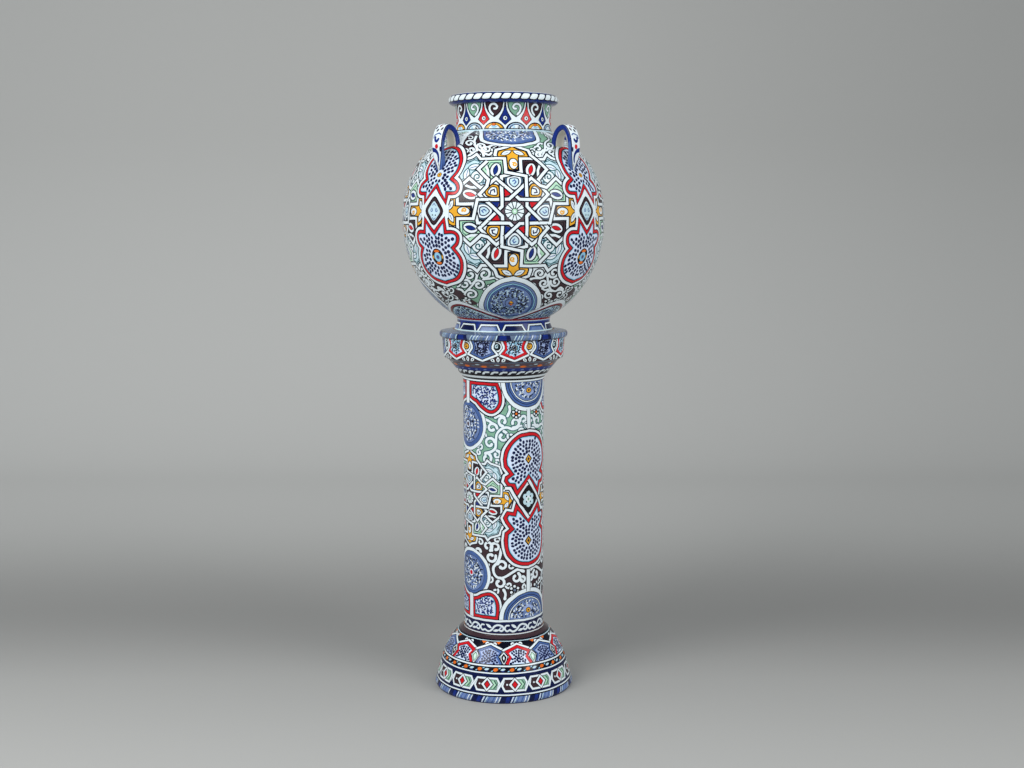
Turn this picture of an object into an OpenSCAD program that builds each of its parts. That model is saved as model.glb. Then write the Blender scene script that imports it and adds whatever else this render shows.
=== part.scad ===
// Tall two-part floor piece in tin-glazed earthenware: a round four-handled jar
// standing loose on its own column pedestal. Every thrown section is a hollow shell.
// Origin: centre of the pedestal's foot on the floor, +Z up. Millimetres.

/* [Pedestal base] */
// Radius of the base rim on the floor
base_r = 172; // [150:1:200]
// Height of the base, floor to column
base_h = 151; // [120:1:180]
// Height at which the base turns from skirt to shoulder
base_turn_h = 66; // [45:1:80]
// Radius at that turn
base_turn_r = 156; // [148:1:162]
// Height of the upright edge at the very foot
base_edge_h = 7; // [4:1:12]
// How far the edge tucks in under the rim
base_edge_tuck = 2.5; // [1:0.5:5]
// Wall of the base
base_wall = 13; // [9:1:18]

/* [Column] */
// Column radius at its foot
shaft_r = 98.6; // [90:0.2:105]
// How much wider the column is at its head
shaft_swell = 1; // [0:0.2:4]
// Column height
shaft_h = 623; // [500:1:760]
// Wall of the column
shaft_wall = 12; // [8:1:18]
// Small step out from the column to the base below it
collar_step = 1.6; // [0.4:0.2:4]

/* [Capital] */
// Height of the flaring neck of the capital
cove_h = 48; // [30:1:60]
// Height of the upright drum
drum_h = 51; // [40:1:70]
// Drum radius at its top
drum_r = 150.5; // [140:0.5:162]
// How much the drum draws in towards its foot
drum_taper = 3.5; // [0:0.5:8]
// Radius under the drum where the flare starts
cove_top_r = 133; // [124:1:138]
// Height of the rounded shelf under the drum
cove_shelf_h = 7; // [4:1:12]
// How hollow the flare is
cove_sag = 2; // [0:0.5:7]
// Radius of the drum's soft lower edge
drum_soft = 5; // [2:0.5:8]
// Wall of the capital
capital_wall = 14; // [10:1:20]
// Thickness of the top plate
plate_h = 18; // [12:1:26]
// How far the plate's rim stands out past the drum
plate_lip = 6; // [3:0.5:12]
// Drop of the sloping border round the seat
plate_slope = 4.5; // [2:0.5:8]
// Flat border of the seat round the jar's foot
seat_border = 4; // [2:1:10]

/* [Jar] */
// Radius at the belly
belly_r = 244.2; // [215:0.2:275]
// Height of the belly above the jar's foot
belly_h = 259; // [230:1:290]
// Height of the lower half as a full curve
bowl_curve_h = 259.5; // [240:0.5:275]
// Fullness of the lower half, 2 is an ellipse
bowl_fullness = 1.98; // [1.8:0.02:2.3]
// Height of the upper half as a full curve
dome_curve_h = 230; // [205:1:255]
// Fullness of the upper half
dome_fullness = 2.3; // [2:0.05:2.6]
// Wall of the jar
jar_wall = 10; // [7:0.5:14]
// Thickness of the jar's floor
floor_t = 12; // [8:1:18]

/* [Jar foot] */
// Height of the foot ring
foot_h = 31; // [20:1:34]
// Radius of the foot ring on the seat
foot_r = 120; // [112:0.5:130]
// How far the ring draws in at its waist
foot_waist = 4; // [0:0.5:7]
// Width of the ring
foot_w = 15; // [10:1:22]

/* [Neck and lip] */
// Radius at the foot of the neck
neck_r = 116.5; // [105:0.5:125]
// Height of the neck up to the lip
neck_h = 64; // [45:1:85]
// How far the neck draws in at mid height
neck_waist = 2.4; // [0:0.2:5]
// Wall of the neck
neck_wall = 9.5; // [7:0.5:13]
// Height of the rolled lip
lip_h = 25; // [16:1:34]
// How far the lip rolls out past the neck
lip_out = 15.2; // [9:0.2:22]

/* [Handles] */
// Turn of the four handles about the axis
handle_turn = 2.5; // [-10:0.5:10]
// Distance of a handle's upper root from the neck
handle_gap = 55; // [50:0.5:60]
// Distance of a handle's lower root in from the belly
handle_inset = 22.5; // [19:0.5:26]
// Rise of the loop above its upper root
handle_rise = 45.5; // [38:0.5:54]
// Reach of the loop past its lower root
handle_reach = 5.5; // [0:0.5:9]
// Strap width
strap_w = 33; // [24:0.5:38]
// Strap thickness
strap_t = 14; // [10:0.5:16]
// Strap width at the lower root, as it is pinched off
strap_tail_w = 18; // [12:0.5:22]

/* [Hidden] */

$fn = 120;
profile_steps = 22;
strap_steps = 26;
handle_azimuths = [-45, 45, 135, -135];

base_top_r = shaft_r + collar_step;
shaft_head_r = shaft_r + shaft_swell;
shaft_bore_r = shaft_r - shaft_wall;
cove_z = base_h + shaft_h;
drum_z = cove_z + cove_h;
plate_z = drum_z + drum_h;
jar_z = plate_z + plate_h;
drum_foot_r = drum_r - drum_taper;
drum_bore_r = drum_foot_r - capital_wall;
plate_r = drum_r + plate_lip;
seat_r = foot_r + seat_border;
belly_z = jar_z + belly_h;
bowl_z = jar_z + foot_h;
neck_z = dome_z(neck_r, 0);
foot_head_r = bowl_r(bowl_z, 0);
handle_in_r = neck_r + handle_gap;
handle_out_r = belly_r - handle_inset;
shoulder_h = base_h - base_turn_h;
cove_span = cove_top_r - shaft_head_r;
cove_rise = cove_h - cove_shelf_h;
neck_bore_r = neck_r - neck_waist - neck_wall;
lip_z = neck_z + neck_h;
lip_r = neck_r + lip_out;

white = [0.90, 0.93, 0.93];
cobalt = [0.12, 0.18, 0.46];
wash = [0.50, 0.56, 0.66];
aqua = [0.76, 0.84, 0.86];

// A half-profile of the jar's belly: inset 0 is the outside, the wall is the inside
function curve_r(rise, reach, full, z) = reach * pow(max(0, 1 - pow(z / rise, full)), 1 / full);
function bowl_r(z, inset) = curve_r(bowl_curve_h - inset, belly_r - inset, bowl_fullness, belly_z - z);
function dome_r(z, inset) = curve_r(dome_curve_h - inset, belly_r - inset, dome_fullness, z - belly_z);
function dome_z(r, inset) =
    belly_z + curve_r(belly_r - inset, dome_curve_h - inset, dome_fullness, r);

// Points of a cubic curve through p0 and p3, drawn towards p1 and p2
function cubic(p0, p1, p2, p3, t) =
    pow(1 - t, 3) * p0 + 3 * t * pow(1 - t, 2) * p1 + 3 * t * t * (1 - t) * p2 + t * t * t * p3;
function cubic_slope(p0, p1, p2, p3, t) =
    3 * pow(1 - t, 2) * (p1 - p0) + 6 * t * (1 - t) * (p2 - p1) + 3 * t * t * (p3 - p2);
function curve(p0, p1, p2, p3, steps) = [for (i = [0:steps]) cubic(p0, p1, p2, p3, i / steps)];

// Steps from one value to another, closer together towards the second
function eased(a, b, steps) = [for (i = [0:steps]) a + (b - a) * sin(90 * i / steps)];

function unit(v) = v / norm(v);

// Outline of the base, floor to collar, set in by the wall for its inside
function skirt(inset, foot_z) = concat(
    [[base_r - base_edge_tuck - inset, foot_z], [base_r - inset, base_edge_h]],
    curve([base_turn_r - inset, base_turn_h],
          [base_turn_r - 0.11 * shoulder_h - inset, base_turn_h + 0.37 * shoulder_h],
          [base_top_r + 0.28 * shoulder_h - inset, base_h - 0.17 * shoulder_h - inset / 2],
          [base_top_r - inset, base_h - 0.05 * shoulder_h - inset / 2], profile_steps),
    [[base_top_r - inset, base_h]]);

// Bell-shaped base, open below, with a short collar that the column stands on
module base_bell() {
    inside = skirt(base_wall, 0);
    color(cobalt)
        rotate_extrude()
            polygon(concat(skirt(0, 0), [for (i = [len(inside) - 1:-1:0]) inside[i]]));
}

// Column, a plain thrown tube a little wider at its head
module column_shaft() {
    color(aqua)
        translate([0, 0, base_h])
            rotate_extrude()
                polygon([[shaft_bore_r, 0], [shaft_r, 0],
                         [shaft_head_r, shaft_h], [shaft_bore_r, shaft_h]]);
}

// Hollow flare from the column out to the underside of the drum
function flare(inset) = concat(
    curve([shaft_head_r - inset, 0],
          [shaft_head_r + 0.13 * cove_span - inset, 0.1 * cove_rise],
          [cove_top_r - 0.33 * cove_span - cove_sag - inset, 0.63 * cove_rise],
          [cove_top_r - inset, cove_rise], profile_steps),
    [[0.5 * (cove_top_r + drum_foot_r - drum_soft) - inset, cove_h - 0.45 * cove_shelf_h],
     [drum_foot_r - drum_soft - inset, cove_h]]);

module capital_cove() {
    inside = flare(capital_wall);
    color(cobalt)
        translate([0, 0, cove_z])
            rotate_extrude()
                polygon(concat(flare(0), [for (i = [len(inside) - 1:-1:0]) inside[i]]));
}

// Upright drum with a soft lower edge
module capital_drum() {
    color(white)
        translate([0, 0, drum_z])
            rotate_extrude()
                polygon(concat(
                    [[drum_bore_r, 0]],
                    [for (a = [-80:16:0])
                        [drum_foot_r - drum_soft * (1 - cos(a)), drum_soft * (1 + sin(a))]],
                    [[drum_r, drum_h], [drum_bore_r, drum_h]]));
}

// Top plate: flat seat, sloping border, rounded rim
module cap_plate() {
    rim_half = (plate_h - plate_slope) / 2;
    color(wash)
        translate([0, 0, plate_z])
            rotate_extrude()
                polygon(concat(
                    [[0, 0], [drum_r, 0]],
                    [for (a = [-75:15:75])
                        [plate_r - 0.6 * plate_lip * (1 - cos(a)), rim_half * (1 + sin(a))]],
                    [[seat_r, plate_h], [0, plate_h]]));
}

// Turned foot ring, drawn in at its waist
module jar_foot_ring() {
    color(cobalt)
        translate([0, 0, jar_z])
            rotate_extrude()
                polygon(concat(
                    [[foot_r - foot_w, 0]],
                    [for (i = [0:profile_steps])
                        let (t = i / profile_steps)
                            [foot_r + (foot_head_r - foot_r) * t - foot_waist * sin(180 * pow(t, 1.4)),
                             foot_h * t]],
                    [[foot_head_r - foot_w, foot_h]]));
}

// Lower half of the body: floor and bowl wall up to the belly
module jar_bowl() {
    floor_z = bowl_z + floor_t;
    color(white)
        rotate_extrude()
            polygon(concat(
                [[0, bowl_z]],
                [for (i = [0:profile_steps])
                    let (z = belly_z + (bowl_z - belly_z) * sin(90 - 90 * i / profile_steps))
                        [bowl_r(z, 0), z]],
                [for (z = eased(belly_z, floor_z, profile_steps)) [bowl_r(z, jar_wall), z]],
                [[0, floor_z]]));
}

// Upper half of the body, open at the neck
module jar_dome() {
    inner_top = dome_z(neck_bore_r, jar_wall);
    color(white)
        rotate_extrude()
            polygon(concat(
                [for (z = eased(belly_z, neck_z, profile_steps)) [dome_r(z, 0), z]],
                [[neck_bore_r, neck_z]],
                [for (i = [profile_steps:-1:0])
                    let (z = belly_z + (inner_top - belly_z) * sin(90 * i / profile_steps))
                        [dome_r(z, jar_wall), z]]));
}

// Neck, drawn in slightly at mid height
module jar_neck() {
    color(white)
        translate([0, 0, neck_z])
            rotate_extrude()
                polygon(concat(
                    [[neck_bore_r, 0]],
                    [for (i = [0:profile_steps])
                        let (t = i / profile_steps)
                            [neck_r - neck_waist * sin(180 * t), neck_h * t]],
                    [[neck_bore_r, neck_h]]));
}

// Rolled lip: an undercut, a round nose and a sloping top
module jar_lip() {
    nose = lip_h / 2;
    color(cobalt)
        translate([0, 0, lip_z])
            rotate_extrude()
                polygon(concat(
                    [[neck_bore_r, 0]],
                    curve([neck_r, 0], [neck_r + 0.5 * lip_out, 0.04 * lip_h],
                          [lip_r, 0.16 * lip_h], [lip_r, nose], 10),
                    curve([lip_r, nose], [lip_r, nose + 0.28 * lip_h],
                          [neck_r + 0.5 * lip_out, lip_h], [neck_r, lip_h], 10),
                    [[neck_bore_r + 0.3 * neck_wall, 0.94 * lip_h], [neck_bore_r, 0.76 * lip_h]]));
}

// The strap's path in its upright plane, from upper root over the crown to lower root.
// Both ends start inside the wall and are trimmed to the jar's outside.
upper_z = dome_z(handle_in_r, 0);
lower_z = dome_z(handle_out_r, 0);
root_sink = 0.7 * strap_t;
crown_z = upper_z + handle_rise - strap_t / 2;
side_r = handle_out_r + handle_reach - strap_t / 2;
loop_w = side_r - handle_in_r;
loop_h = crown_z - lower_z;
p_upper = [handle_in_r, upper_z - root_sink];
p_crown = [handle_in_r + 0.55 * loop_w, crown_z];
p_side = [side_r, lower_z + 0.56 * loop_h];
p_lower = [handle_out_r - root_sink, lower_z - root_sink];
legs = [[p_upper, p_upper + [-0.08 * loop_w, 0.65 * handle_rise], p_crown - [0.32 * loop_w, 0], p_crown],
        [p_crown, p_crown + [0.24 * loop_w, 0], p_side + [0, 0.21 * loop_h], p_side],
        [p_side, p_side - [0, 0.23 * loop_h], p_lower + [0, 0.26 * loop_h], p_lower]];

function leg_at(t) = legs[min(floor(t), 2)];
function path(t) = let (g = leg_at(t)) cubic(g[0], g[1], g[2], g[3], t - min(floor(t), 2));
function path_slope(t) = let (g = leg_at(t)) cubic_slope(g[0], g[1], g[2], g[3], t - min(floor(t), 2));

// Width along the strap: a little wider at the upper root, pinched at the lower one
function width_at(t) = t < 1
    ? strap_w * (1 + 0.1 * pow(1 - t, 2))
    : strap_w - (strap_w - strap_tail_w) * pow((t - 1) / 2, 3);

// One strap section: a flat oval with full edges
section_sides = 12;
function section(w) = [for (i = [0:section_sides - 1])
    let (a = 360 * (i + 0.5) / section_sides)
        [sign(cos(a)) * pow(abs(cos(a)), 0.4) * w / 2,
         sign(sin(a)) * pow(abs(sin(a)), 0.5) * strap_t / 2]];

function ring_at(t) =
    let (c = path(t), d = unit(path_slope(t)), n = [-d[1], d[0]])
        [for (s = section(width_at(t))) [c[0] + n[0] * s[1], s[0], c[1] + n[1] * s[1]]];

// Pulled strap handle, swept along its path and trimmed to the shoulder
module strap_handle(azimuth) {
    rings = [for (i = [0:strap_steps]) ring_at(3 * i / strap_steps)];
    n = section_sides;
    last = strap_steps * n;
    sides = [for (k = [0:strap_steps - 1], j = [0:n - 1])
        let (a = k * n + j, b = k * n + (j + 1) % n)
            each [[a, a + n, b], [b, a + n, b + n]]];
    lids = concat([for (j = [1:n - 2]) [0, j, j + 1]],
                  [for (j = [1:n - 2]) [last, last + j + 1, last + j]]);
    color(cobalt)
        rotate([0, 0, azimuth + handle_turn - 90])
            difference() {
                polyhedron([for (ring = rings) each ring], concat(sides, lids));
                rotate_extrude()
                    polygon(concat(
                        [[0, belly_z]],
                        [for (z = eased(belly_z, neck_z, profile_steps)) [dome_r(z, 0), z]],
                        [[0, neck_z]]));
            }
}

base_bell();
column_shaft();
capital_cove();
capital_drum();
cap_plate();
jar_foot_ring();
jar_bowl();
jar_dome();
jar_neck();
jar_lip();
strap_handle(handle_azimuths[0]);  // handle_front_left
strap_handle(handle_azimuths[1]);  // handle_front_right
strap_handle(handle_azimuths[2]);  // handle_back_right
strap_handle(handle_azimuths[3]);  // handle_back_left
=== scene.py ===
import math
import random

import bpy
import numpy as np
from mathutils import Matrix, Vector
from mathutils.geometry import delaunay_2d_cdt


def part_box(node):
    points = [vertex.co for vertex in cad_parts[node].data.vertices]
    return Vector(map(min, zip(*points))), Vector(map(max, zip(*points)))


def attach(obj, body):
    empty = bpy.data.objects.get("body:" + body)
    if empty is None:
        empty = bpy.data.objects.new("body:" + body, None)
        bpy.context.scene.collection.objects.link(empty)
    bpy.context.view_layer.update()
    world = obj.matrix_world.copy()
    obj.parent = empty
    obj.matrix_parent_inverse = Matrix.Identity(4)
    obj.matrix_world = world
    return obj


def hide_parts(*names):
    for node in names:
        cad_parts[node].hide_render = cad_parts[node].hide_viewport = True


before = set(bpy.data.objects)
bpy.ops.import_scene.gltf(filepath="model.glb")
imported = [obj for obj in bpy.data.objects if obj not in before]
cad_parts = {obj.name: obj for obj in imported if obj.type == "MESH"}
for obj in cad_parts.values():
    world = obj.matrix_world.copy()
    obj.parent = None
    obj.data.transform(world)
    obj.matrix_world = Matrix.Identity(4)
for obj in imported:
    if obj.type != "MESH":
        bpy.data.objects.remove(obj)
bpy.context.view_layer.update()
print("frame loaded:", len(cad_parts), "nodes")

# Fired colours of the pigments as sRGB, then how much the brush marks vary
# them and how rough the glaze is over them.
pigments = {
    "white": (220, 231, 236, 0.05, 0.20),
    "cream": (222, 220, 206, 0.06, 0.22),
    "ink": (6, 8, 26, 0.25, 0.20),
    "soot": (18, 12, 16, 0.25, 0.22),
    "navy": (10, 22, 66, 0.30, 0.20),
    "cobalt": (18, 42, 116, 0.30, 0.20),
    "blue": (66, 94, 150, 0.30, 0.20),
    "lavender": (102, 124, 170, 0.22, 0.20),
    "haze": (150, 168, 208, 0.20, 0.20),
    "mist": (206, 220, 242, 0.14, 0.20),
    "sky": (142, 196, 222, 0.16, 0.20),
    "pale": (186, 214, 224, 0.12, 0.20),
    "red": (196, 20, 32, 0.20, 0.22),
    "garnet": (122, 20, 28, 0.22, 0.22),
    "brown": (88, 72, 80, 0.24, 0.22),
    "umber": (58, 40, 46, 0.24, 0.22),
    "ochre": (222, 162, 44, 0.24, 0.22),
    "orange": (222, 108, 30, 0.20, 0.22),
    "leaf": (170, 212, 182, 0.18, 0.20),
    "green": (122, 166, 142, 0.26, 0.20),
    "pine": (14, 40, 44, 0.24, 0.20),
    "teal": (30, 84, 92, 0.26, 0.20),
    "wash": (92, 108, 130, 0.24, 0.20),
    "clay": (168, 132, 108, 0.12, 0.75),
}


# shapes on the flat

def smooth(points, closed=False, steps=5):
    # rounds a few control points off into a curve
    p = [np.array(q, float) for q in points]
    p = [p[-1]] + p + [p[0], p[1]] if closed else [2 * p[0] - p[1]] + p + [2 * p[-1] - p[-2]]
    out = []
    for a, b, c, d in zip(p, p[1:], p[2:], p[3:]):
        for i in range(steps):
            t = i / steps
            out.append(0.5 * (2 * b + (c - a) * t + (2 * a - 5 * b + 4 * c - d) * t * t
                              + (3 * b - a - 3 * c + d) * t ** 3))
    return np.array(out if closed else out + [p[-2]])


def moved(px, py, x, y, tilt):
    # points turned by tilt degrees and moved to (x, y)
    c, s = math.cos(math.radians(tilt)), math.sin(math.radians(tilt))
    return np.column_stack([x + px * c - py * s, y + px * s + py * c])


def ovalLoop(x, y, a, b, tilt=0, sides=20):
    t = np.linspace(0, 2 * math.pi, sides, endpoint=False)
    return moved(a * np.cos(t), b * np.sin(t), x, y, tilt)


def lensLoop(x, y, a, b, tilt):
    # pointed at both ends, like a leaf
    t = np.linspace(-1, 1, 7)
    back = t[-2:0:-1]
    return moved(a * np.r_[t, back], b * np.r_[1 - t * t, back ** 2 - 1], x, y, tilt)


def spiral(x, y, r, start, turns, core=0.28):
    # control points of a curl, from its rim at angle start in to its eye
    t = np.linspace(0, 1, max(6, int(abs(turns) * 13)))
    a = math.radians(start) + 2 * math.pi * turns * t
    rr = r * (1 - (1 - core) * t)
    return np.column_stack([x + rr * np.cos(a), y + rr * np.sin(a)])


def hook(x, y, r, start, turns):
    # a shorter, more open curl
    return spiral(x, y, r, start, turns * 0.74, core=0.46)


def densify(loop, gap):
    loop = np.asarray(loop, float)
    out = []
    for a, b in zip(loop, np.roll(loop, -1, 0)):
        n = max(1, int(math.ceil(np.hypot(*(b - a)) / gap)))
        out.extend(a + (b - a) * i / n for i in range(n))
    return np.array(out)


def ribbon(points, width, closed=False, rounded=False):
    # the outline of a brush line: one loop, or two for a closed line
    p = np.asarray(points, float)
    w = np.broadcast_to(np.asarray(width, float), len(p)) / 2
    step = np.diff(np.vstack([p, p[:1]]) if closed else p, axis=0)
    step /= np.hypot(step[:, 0], step[:, 1])[:, None] + 1e-9
    if closed:
        before, after = np.roll(step, 1, 0), step
    else:
        before, after = np.vstack([step[:1], step]), np.vstack([step, step[-1:]])
    m = np.column_stack([-(before + after)[:, 1], (before + after)[:, 0]])
    off = m * (2 * w / np.maximum((m * m).sum(1), 0.9))[:, None]
    left, right = p + off, p - off
    if closed:
        return [left, right[::-1]]
    tail, nose = [], []
    if rounded:
        for k in range(1, 4):
            a = math.pi * k / 4
            c, s = math.cos(a), math.sin(a)
            o, f = off[-1], after[-1] * w[-1]
            nose.append(p[-1] + o * c + f * s)
            o, f = off[0], before[0] * w[0]
            tail.append(p[0] - o * c - f * s)
    return [np.array([*left, *nose, *right[::-1], *tail])]


def windingOf(loops, x, y):
    turns = np.zeros(len(x), int)
    for loop in loops:
        for (ax, ay), (bx, by) in zip(loop, np.roll(loop, -1, 0)):
            side = (bx - ax) * (y - ay) - (x - ax) * (by - ay)
            if by > ay:
                turns += (y >= ay) & (y < by) & (side > 0)
            elif by < ay:
                turns -= (y >= by) & (y < ay) & (side < 0)
    return turns


def within(loop, points):
    points = np.asarray(points, float)
    return windingOf([np.asarray(loop, float)], points[:, 0], points[:, 1]) != 0


def areaOf(loop):
    # twice the area, above zero where the loop runs anticlockwise
    x, y = loop[:, 0], loop[:, 1]
    return np.sum(x * np.roll(y, -1) - np.roll(x, -1) * y)


def shrink(loop, by):
    # an inner copy of a closed shape
    left, right = ribbon(loop, 2 * by, closed=True)
    return left if abs(areaOf(left)) < abs(areaOf(right)) else right[::-1]


def loopOf(half):
    # a closed shape from its right half, which begins and ends on the axis
    half = np.asarray(half, float)
    return np.vstack([half, (half * [-1, 1])[-2:0:-1]])


# outlines of the turned pieces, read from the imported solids

def outlineOf(node):
    # the chain of (radius, height) points in mm, up the outside and down the inside
    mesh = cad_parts[node].data
    co = np.array([v.co for v in mesh.vertices]) * 1000
    flat = (abs(co[:, 1]) < 1e-3) & (co[:, 0] > -1e-3)
    key = [tuple(k) for k in np.round(co[:, (0, 2)], 2) + 0.0]
    near = {}
    for face in mesh.polygons:
        ring = list(face.vertices)
        for a, b in zip(ring, ring[1:] + ring[:1]):
            if flat[a] and flat[b] and key[a] != key[b]:
                near.setdefault(key[a], set()).add(key[b])
                near.setdefault(key[b], set()).add(key[a])
    ends = [k for k in near if len(near[k]) == 1]
    at = min(ends, key=lambda k: k[1]) if ends else min(near, key=lambda k: (k[0], k[1]))
    chain = [at]
    while True:
        onward = [k for k in near[chain[-1]] if k not in chain]
        if not onward:
            break
        chain.append(onward[0])
    p = np.array(chain)
    if ends:  # a solid floor or plate: close it on the axis
        p = np.vstack([[0, p[0, 1]], p, [0, p[-1, 1]]])
    if areaOf(p) < 0:
        p = p[::-1] if ends else np.vstack([p[:1], p[:0:-1]])
    return p, bool(ends)


class Outline:
    # A turned piece's outline, refined to a smooth curve between its corners. A turn above corner
    # degrees stays sharp, above slight only where one side is longer than the other by so many times.
    def __init__(self, points, onAxis, corner=24, slight=9, longer=3.2, gap=6.0):
        p = np.asarray(points, float)
        keep = np.ones(len(p), bool)
        for i in range(len(p)):  # points on straight runs are dropped
            if onAxis and i in (0, len(p) - 1):
                continue
            a, b, c = p[i - 1], p[i], p[(i + 1) % len(p)]
            d, e = b - a, c - b
            if abs(d[0] * e[1] - d[1] * e[0]) < 1e-3 * np.hypot(*d) * np.hypot(*e):
                keep[i] = False
        p = p[keep]
        if not onAxis:
            p = np.vstack([p, p[:1]])
        n = len(p)
        step = np.diff(p, axis=0)
        size = np.hypot(step[:, 0], step[:, 1])
        way = np.arctan2(step[:, 1], step[:, 0])
        sharp = np.zeros(n, bool)
        sharp[0] = sharp[-1] = True
        for i in range(1, n - 1):
            turn = abs((way[i] - way[i - 1] + math.pi) % (2 * math.pi) - math.pi)
            uneven = max(size[i], size[i - 1]) > longer * min(size[i], size[i - 1])
            sharp[i] = math.degrees(turn) > (slight if uneven else corner)
        q, mark = [], []
        for i in range(n - 1):
            b, c = p[i], p[i + 1]
            a = 2 * b - c if sharp[i] else p[i - 1]
            d = 2 * c - b if sharp[i + 1] else p[i + 2]
            k = max(1, int(math.ceil(size[i] / gap)))
            if not (sharp[i] and sharp[i + 1]):
                k = max(k, 2)
            m0, m1 = (c - a) / 2, (d - b) / 2
            if not sharp[i]:
                m0 *= 2 * size[i] / (size[i] + size[i - 1])
            if not sharp[i + 1]:
                m1 *= 2 * size[i] / (size[i] + size[i + 1])
            for j in range(k):
                t = j / k
                q.append((2 * t ** 3 - 3 * t * t + 1) * b + (t ** 3 - 2 * t * t + t) * m0
                         + (3 * t * t - 2 * t ** 3) * c + (t ** 3 - t * t) * m1)
                mark.append(sharp[i] and j == 0)
        q.append(p[-1])
        mark.append(True)
        self.points, self.sharp, self.onAxis = np.array(q), np.array(mark), onAxis
        self.points[:, 0] = np.maximum(self.points[:, 0], 0)
        step = np.diff(self.points, axis=0)
        size = np.hypot(step[:, 0], step[:, 1])
        self.along = np.r_[0, np.cumsum(size)]
        self.length = self.along[-1]
        face = np.column_stack([step[:, 1], -step[:, 0]]) / size[:, None]
        mid = (face + np.roll(face, -1, 0)) / 2
        self.first = np.where(self.sharp[:-1, None], face, np.roll(mid, 1, 0))
        self.last = np.where(self.sharp[1:, None], face, mid)

    def at(self, v):
        return (np.interp(v, self.along, self.points[:, 0]),
                np.interp(v, self.along, self.points[:, 1]))

    def facing(self, v):
        i = np.clip(np.searchsorted(self.along, v, side="right") - 1, 0, len(self.first) - 1)
        t = ((v - self.along[i]) / (self.along[i + 1] - self.along[i]))[:, None]
        n = self.first[i] * (1 - t) + self.last[i] * t
        return n / np.hypot(n[:, 0], n[:, 1])[:, None]

    def place(self, az, v):
        r, z = self.at(v)
        return np.column_stack([r * np.sin(az), -r * np.cos(az), z]) / 1000

    def normal(self, az, v):
        n = self.facing(v)
        return np.column_stack([n[:, 0] * np.sin(az), -n[:, 0] * np.cos(az), n[:, 1]])

    def outerAt(self, height):
        # how far along the outline a height is met on the outside
        z, r = self.points[:, 1], self.points[:, 0]
        for i in range(len(z) - 1):
            if z[i + 1] > z[i] and z[i] - 0.1 <= height <= z[i + 1] + 0.1 and r[i] > 0:
                t = min(1, max(0, (height - z[i]) / (z[i + 1] - z[i])))
                return self.along[i] + t * (self.along[i + 1] - self.along[i])
        raise ValueError(f"no outside at height {height}")


# painting on the unrolled surface

class Painting:
    # Shapes in the order they are painted. One repeat spans so many degrees; y = 0 is
    # at arc length base, and the ground is painted within reach, with plain outside it.
    def __init__(self, outline, base, reach, repeat=360, turn=0, ground="white", plain="white",
                 gap=7.0, plainGap=16.0, wobble=0.0, drift=0.0):
        self.outline, self.base, self.reach = outline, base, reach
        self.repeat, self.turn, self.wobble, self.drift = repeat, turn, wobble, drift
        self.ground, self.plain, self.gap, self.plainGap = ground, plain, gap, plainGap
        self.refRadius = outline.at(np.array([base]))[0][0]
        self.width = math.radians(repeat) * self.refRadius
        self.shapes = []

    def bands(self, *rows):
        # plain lines right round the piece, each from one height to another
        for low, high, pigment in rows:
            loop = densify([(0, low), (self.width, low), (self.width, high), (0, high)], 4.5)
            self.add([loop + [0, self.base]], pigment)

    def add(self, loops, pigment):
        lo, hi = self.reach
        loops = [np.column_stack([q[:, 0], np.clip(q[:, 1], lo, hi)]) for q in loops]
        left = min(q[:, 0].min() for q in loops)
        right = max(q[:, 0].max() for q in loops)
        for k in (-1, 0, 1):
            if right + k * self.width > 0 and left + k * self.width < self.width:
                self.shapes.append(([q + [k * self.width, 0] for q in loops], pigment))


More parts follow.
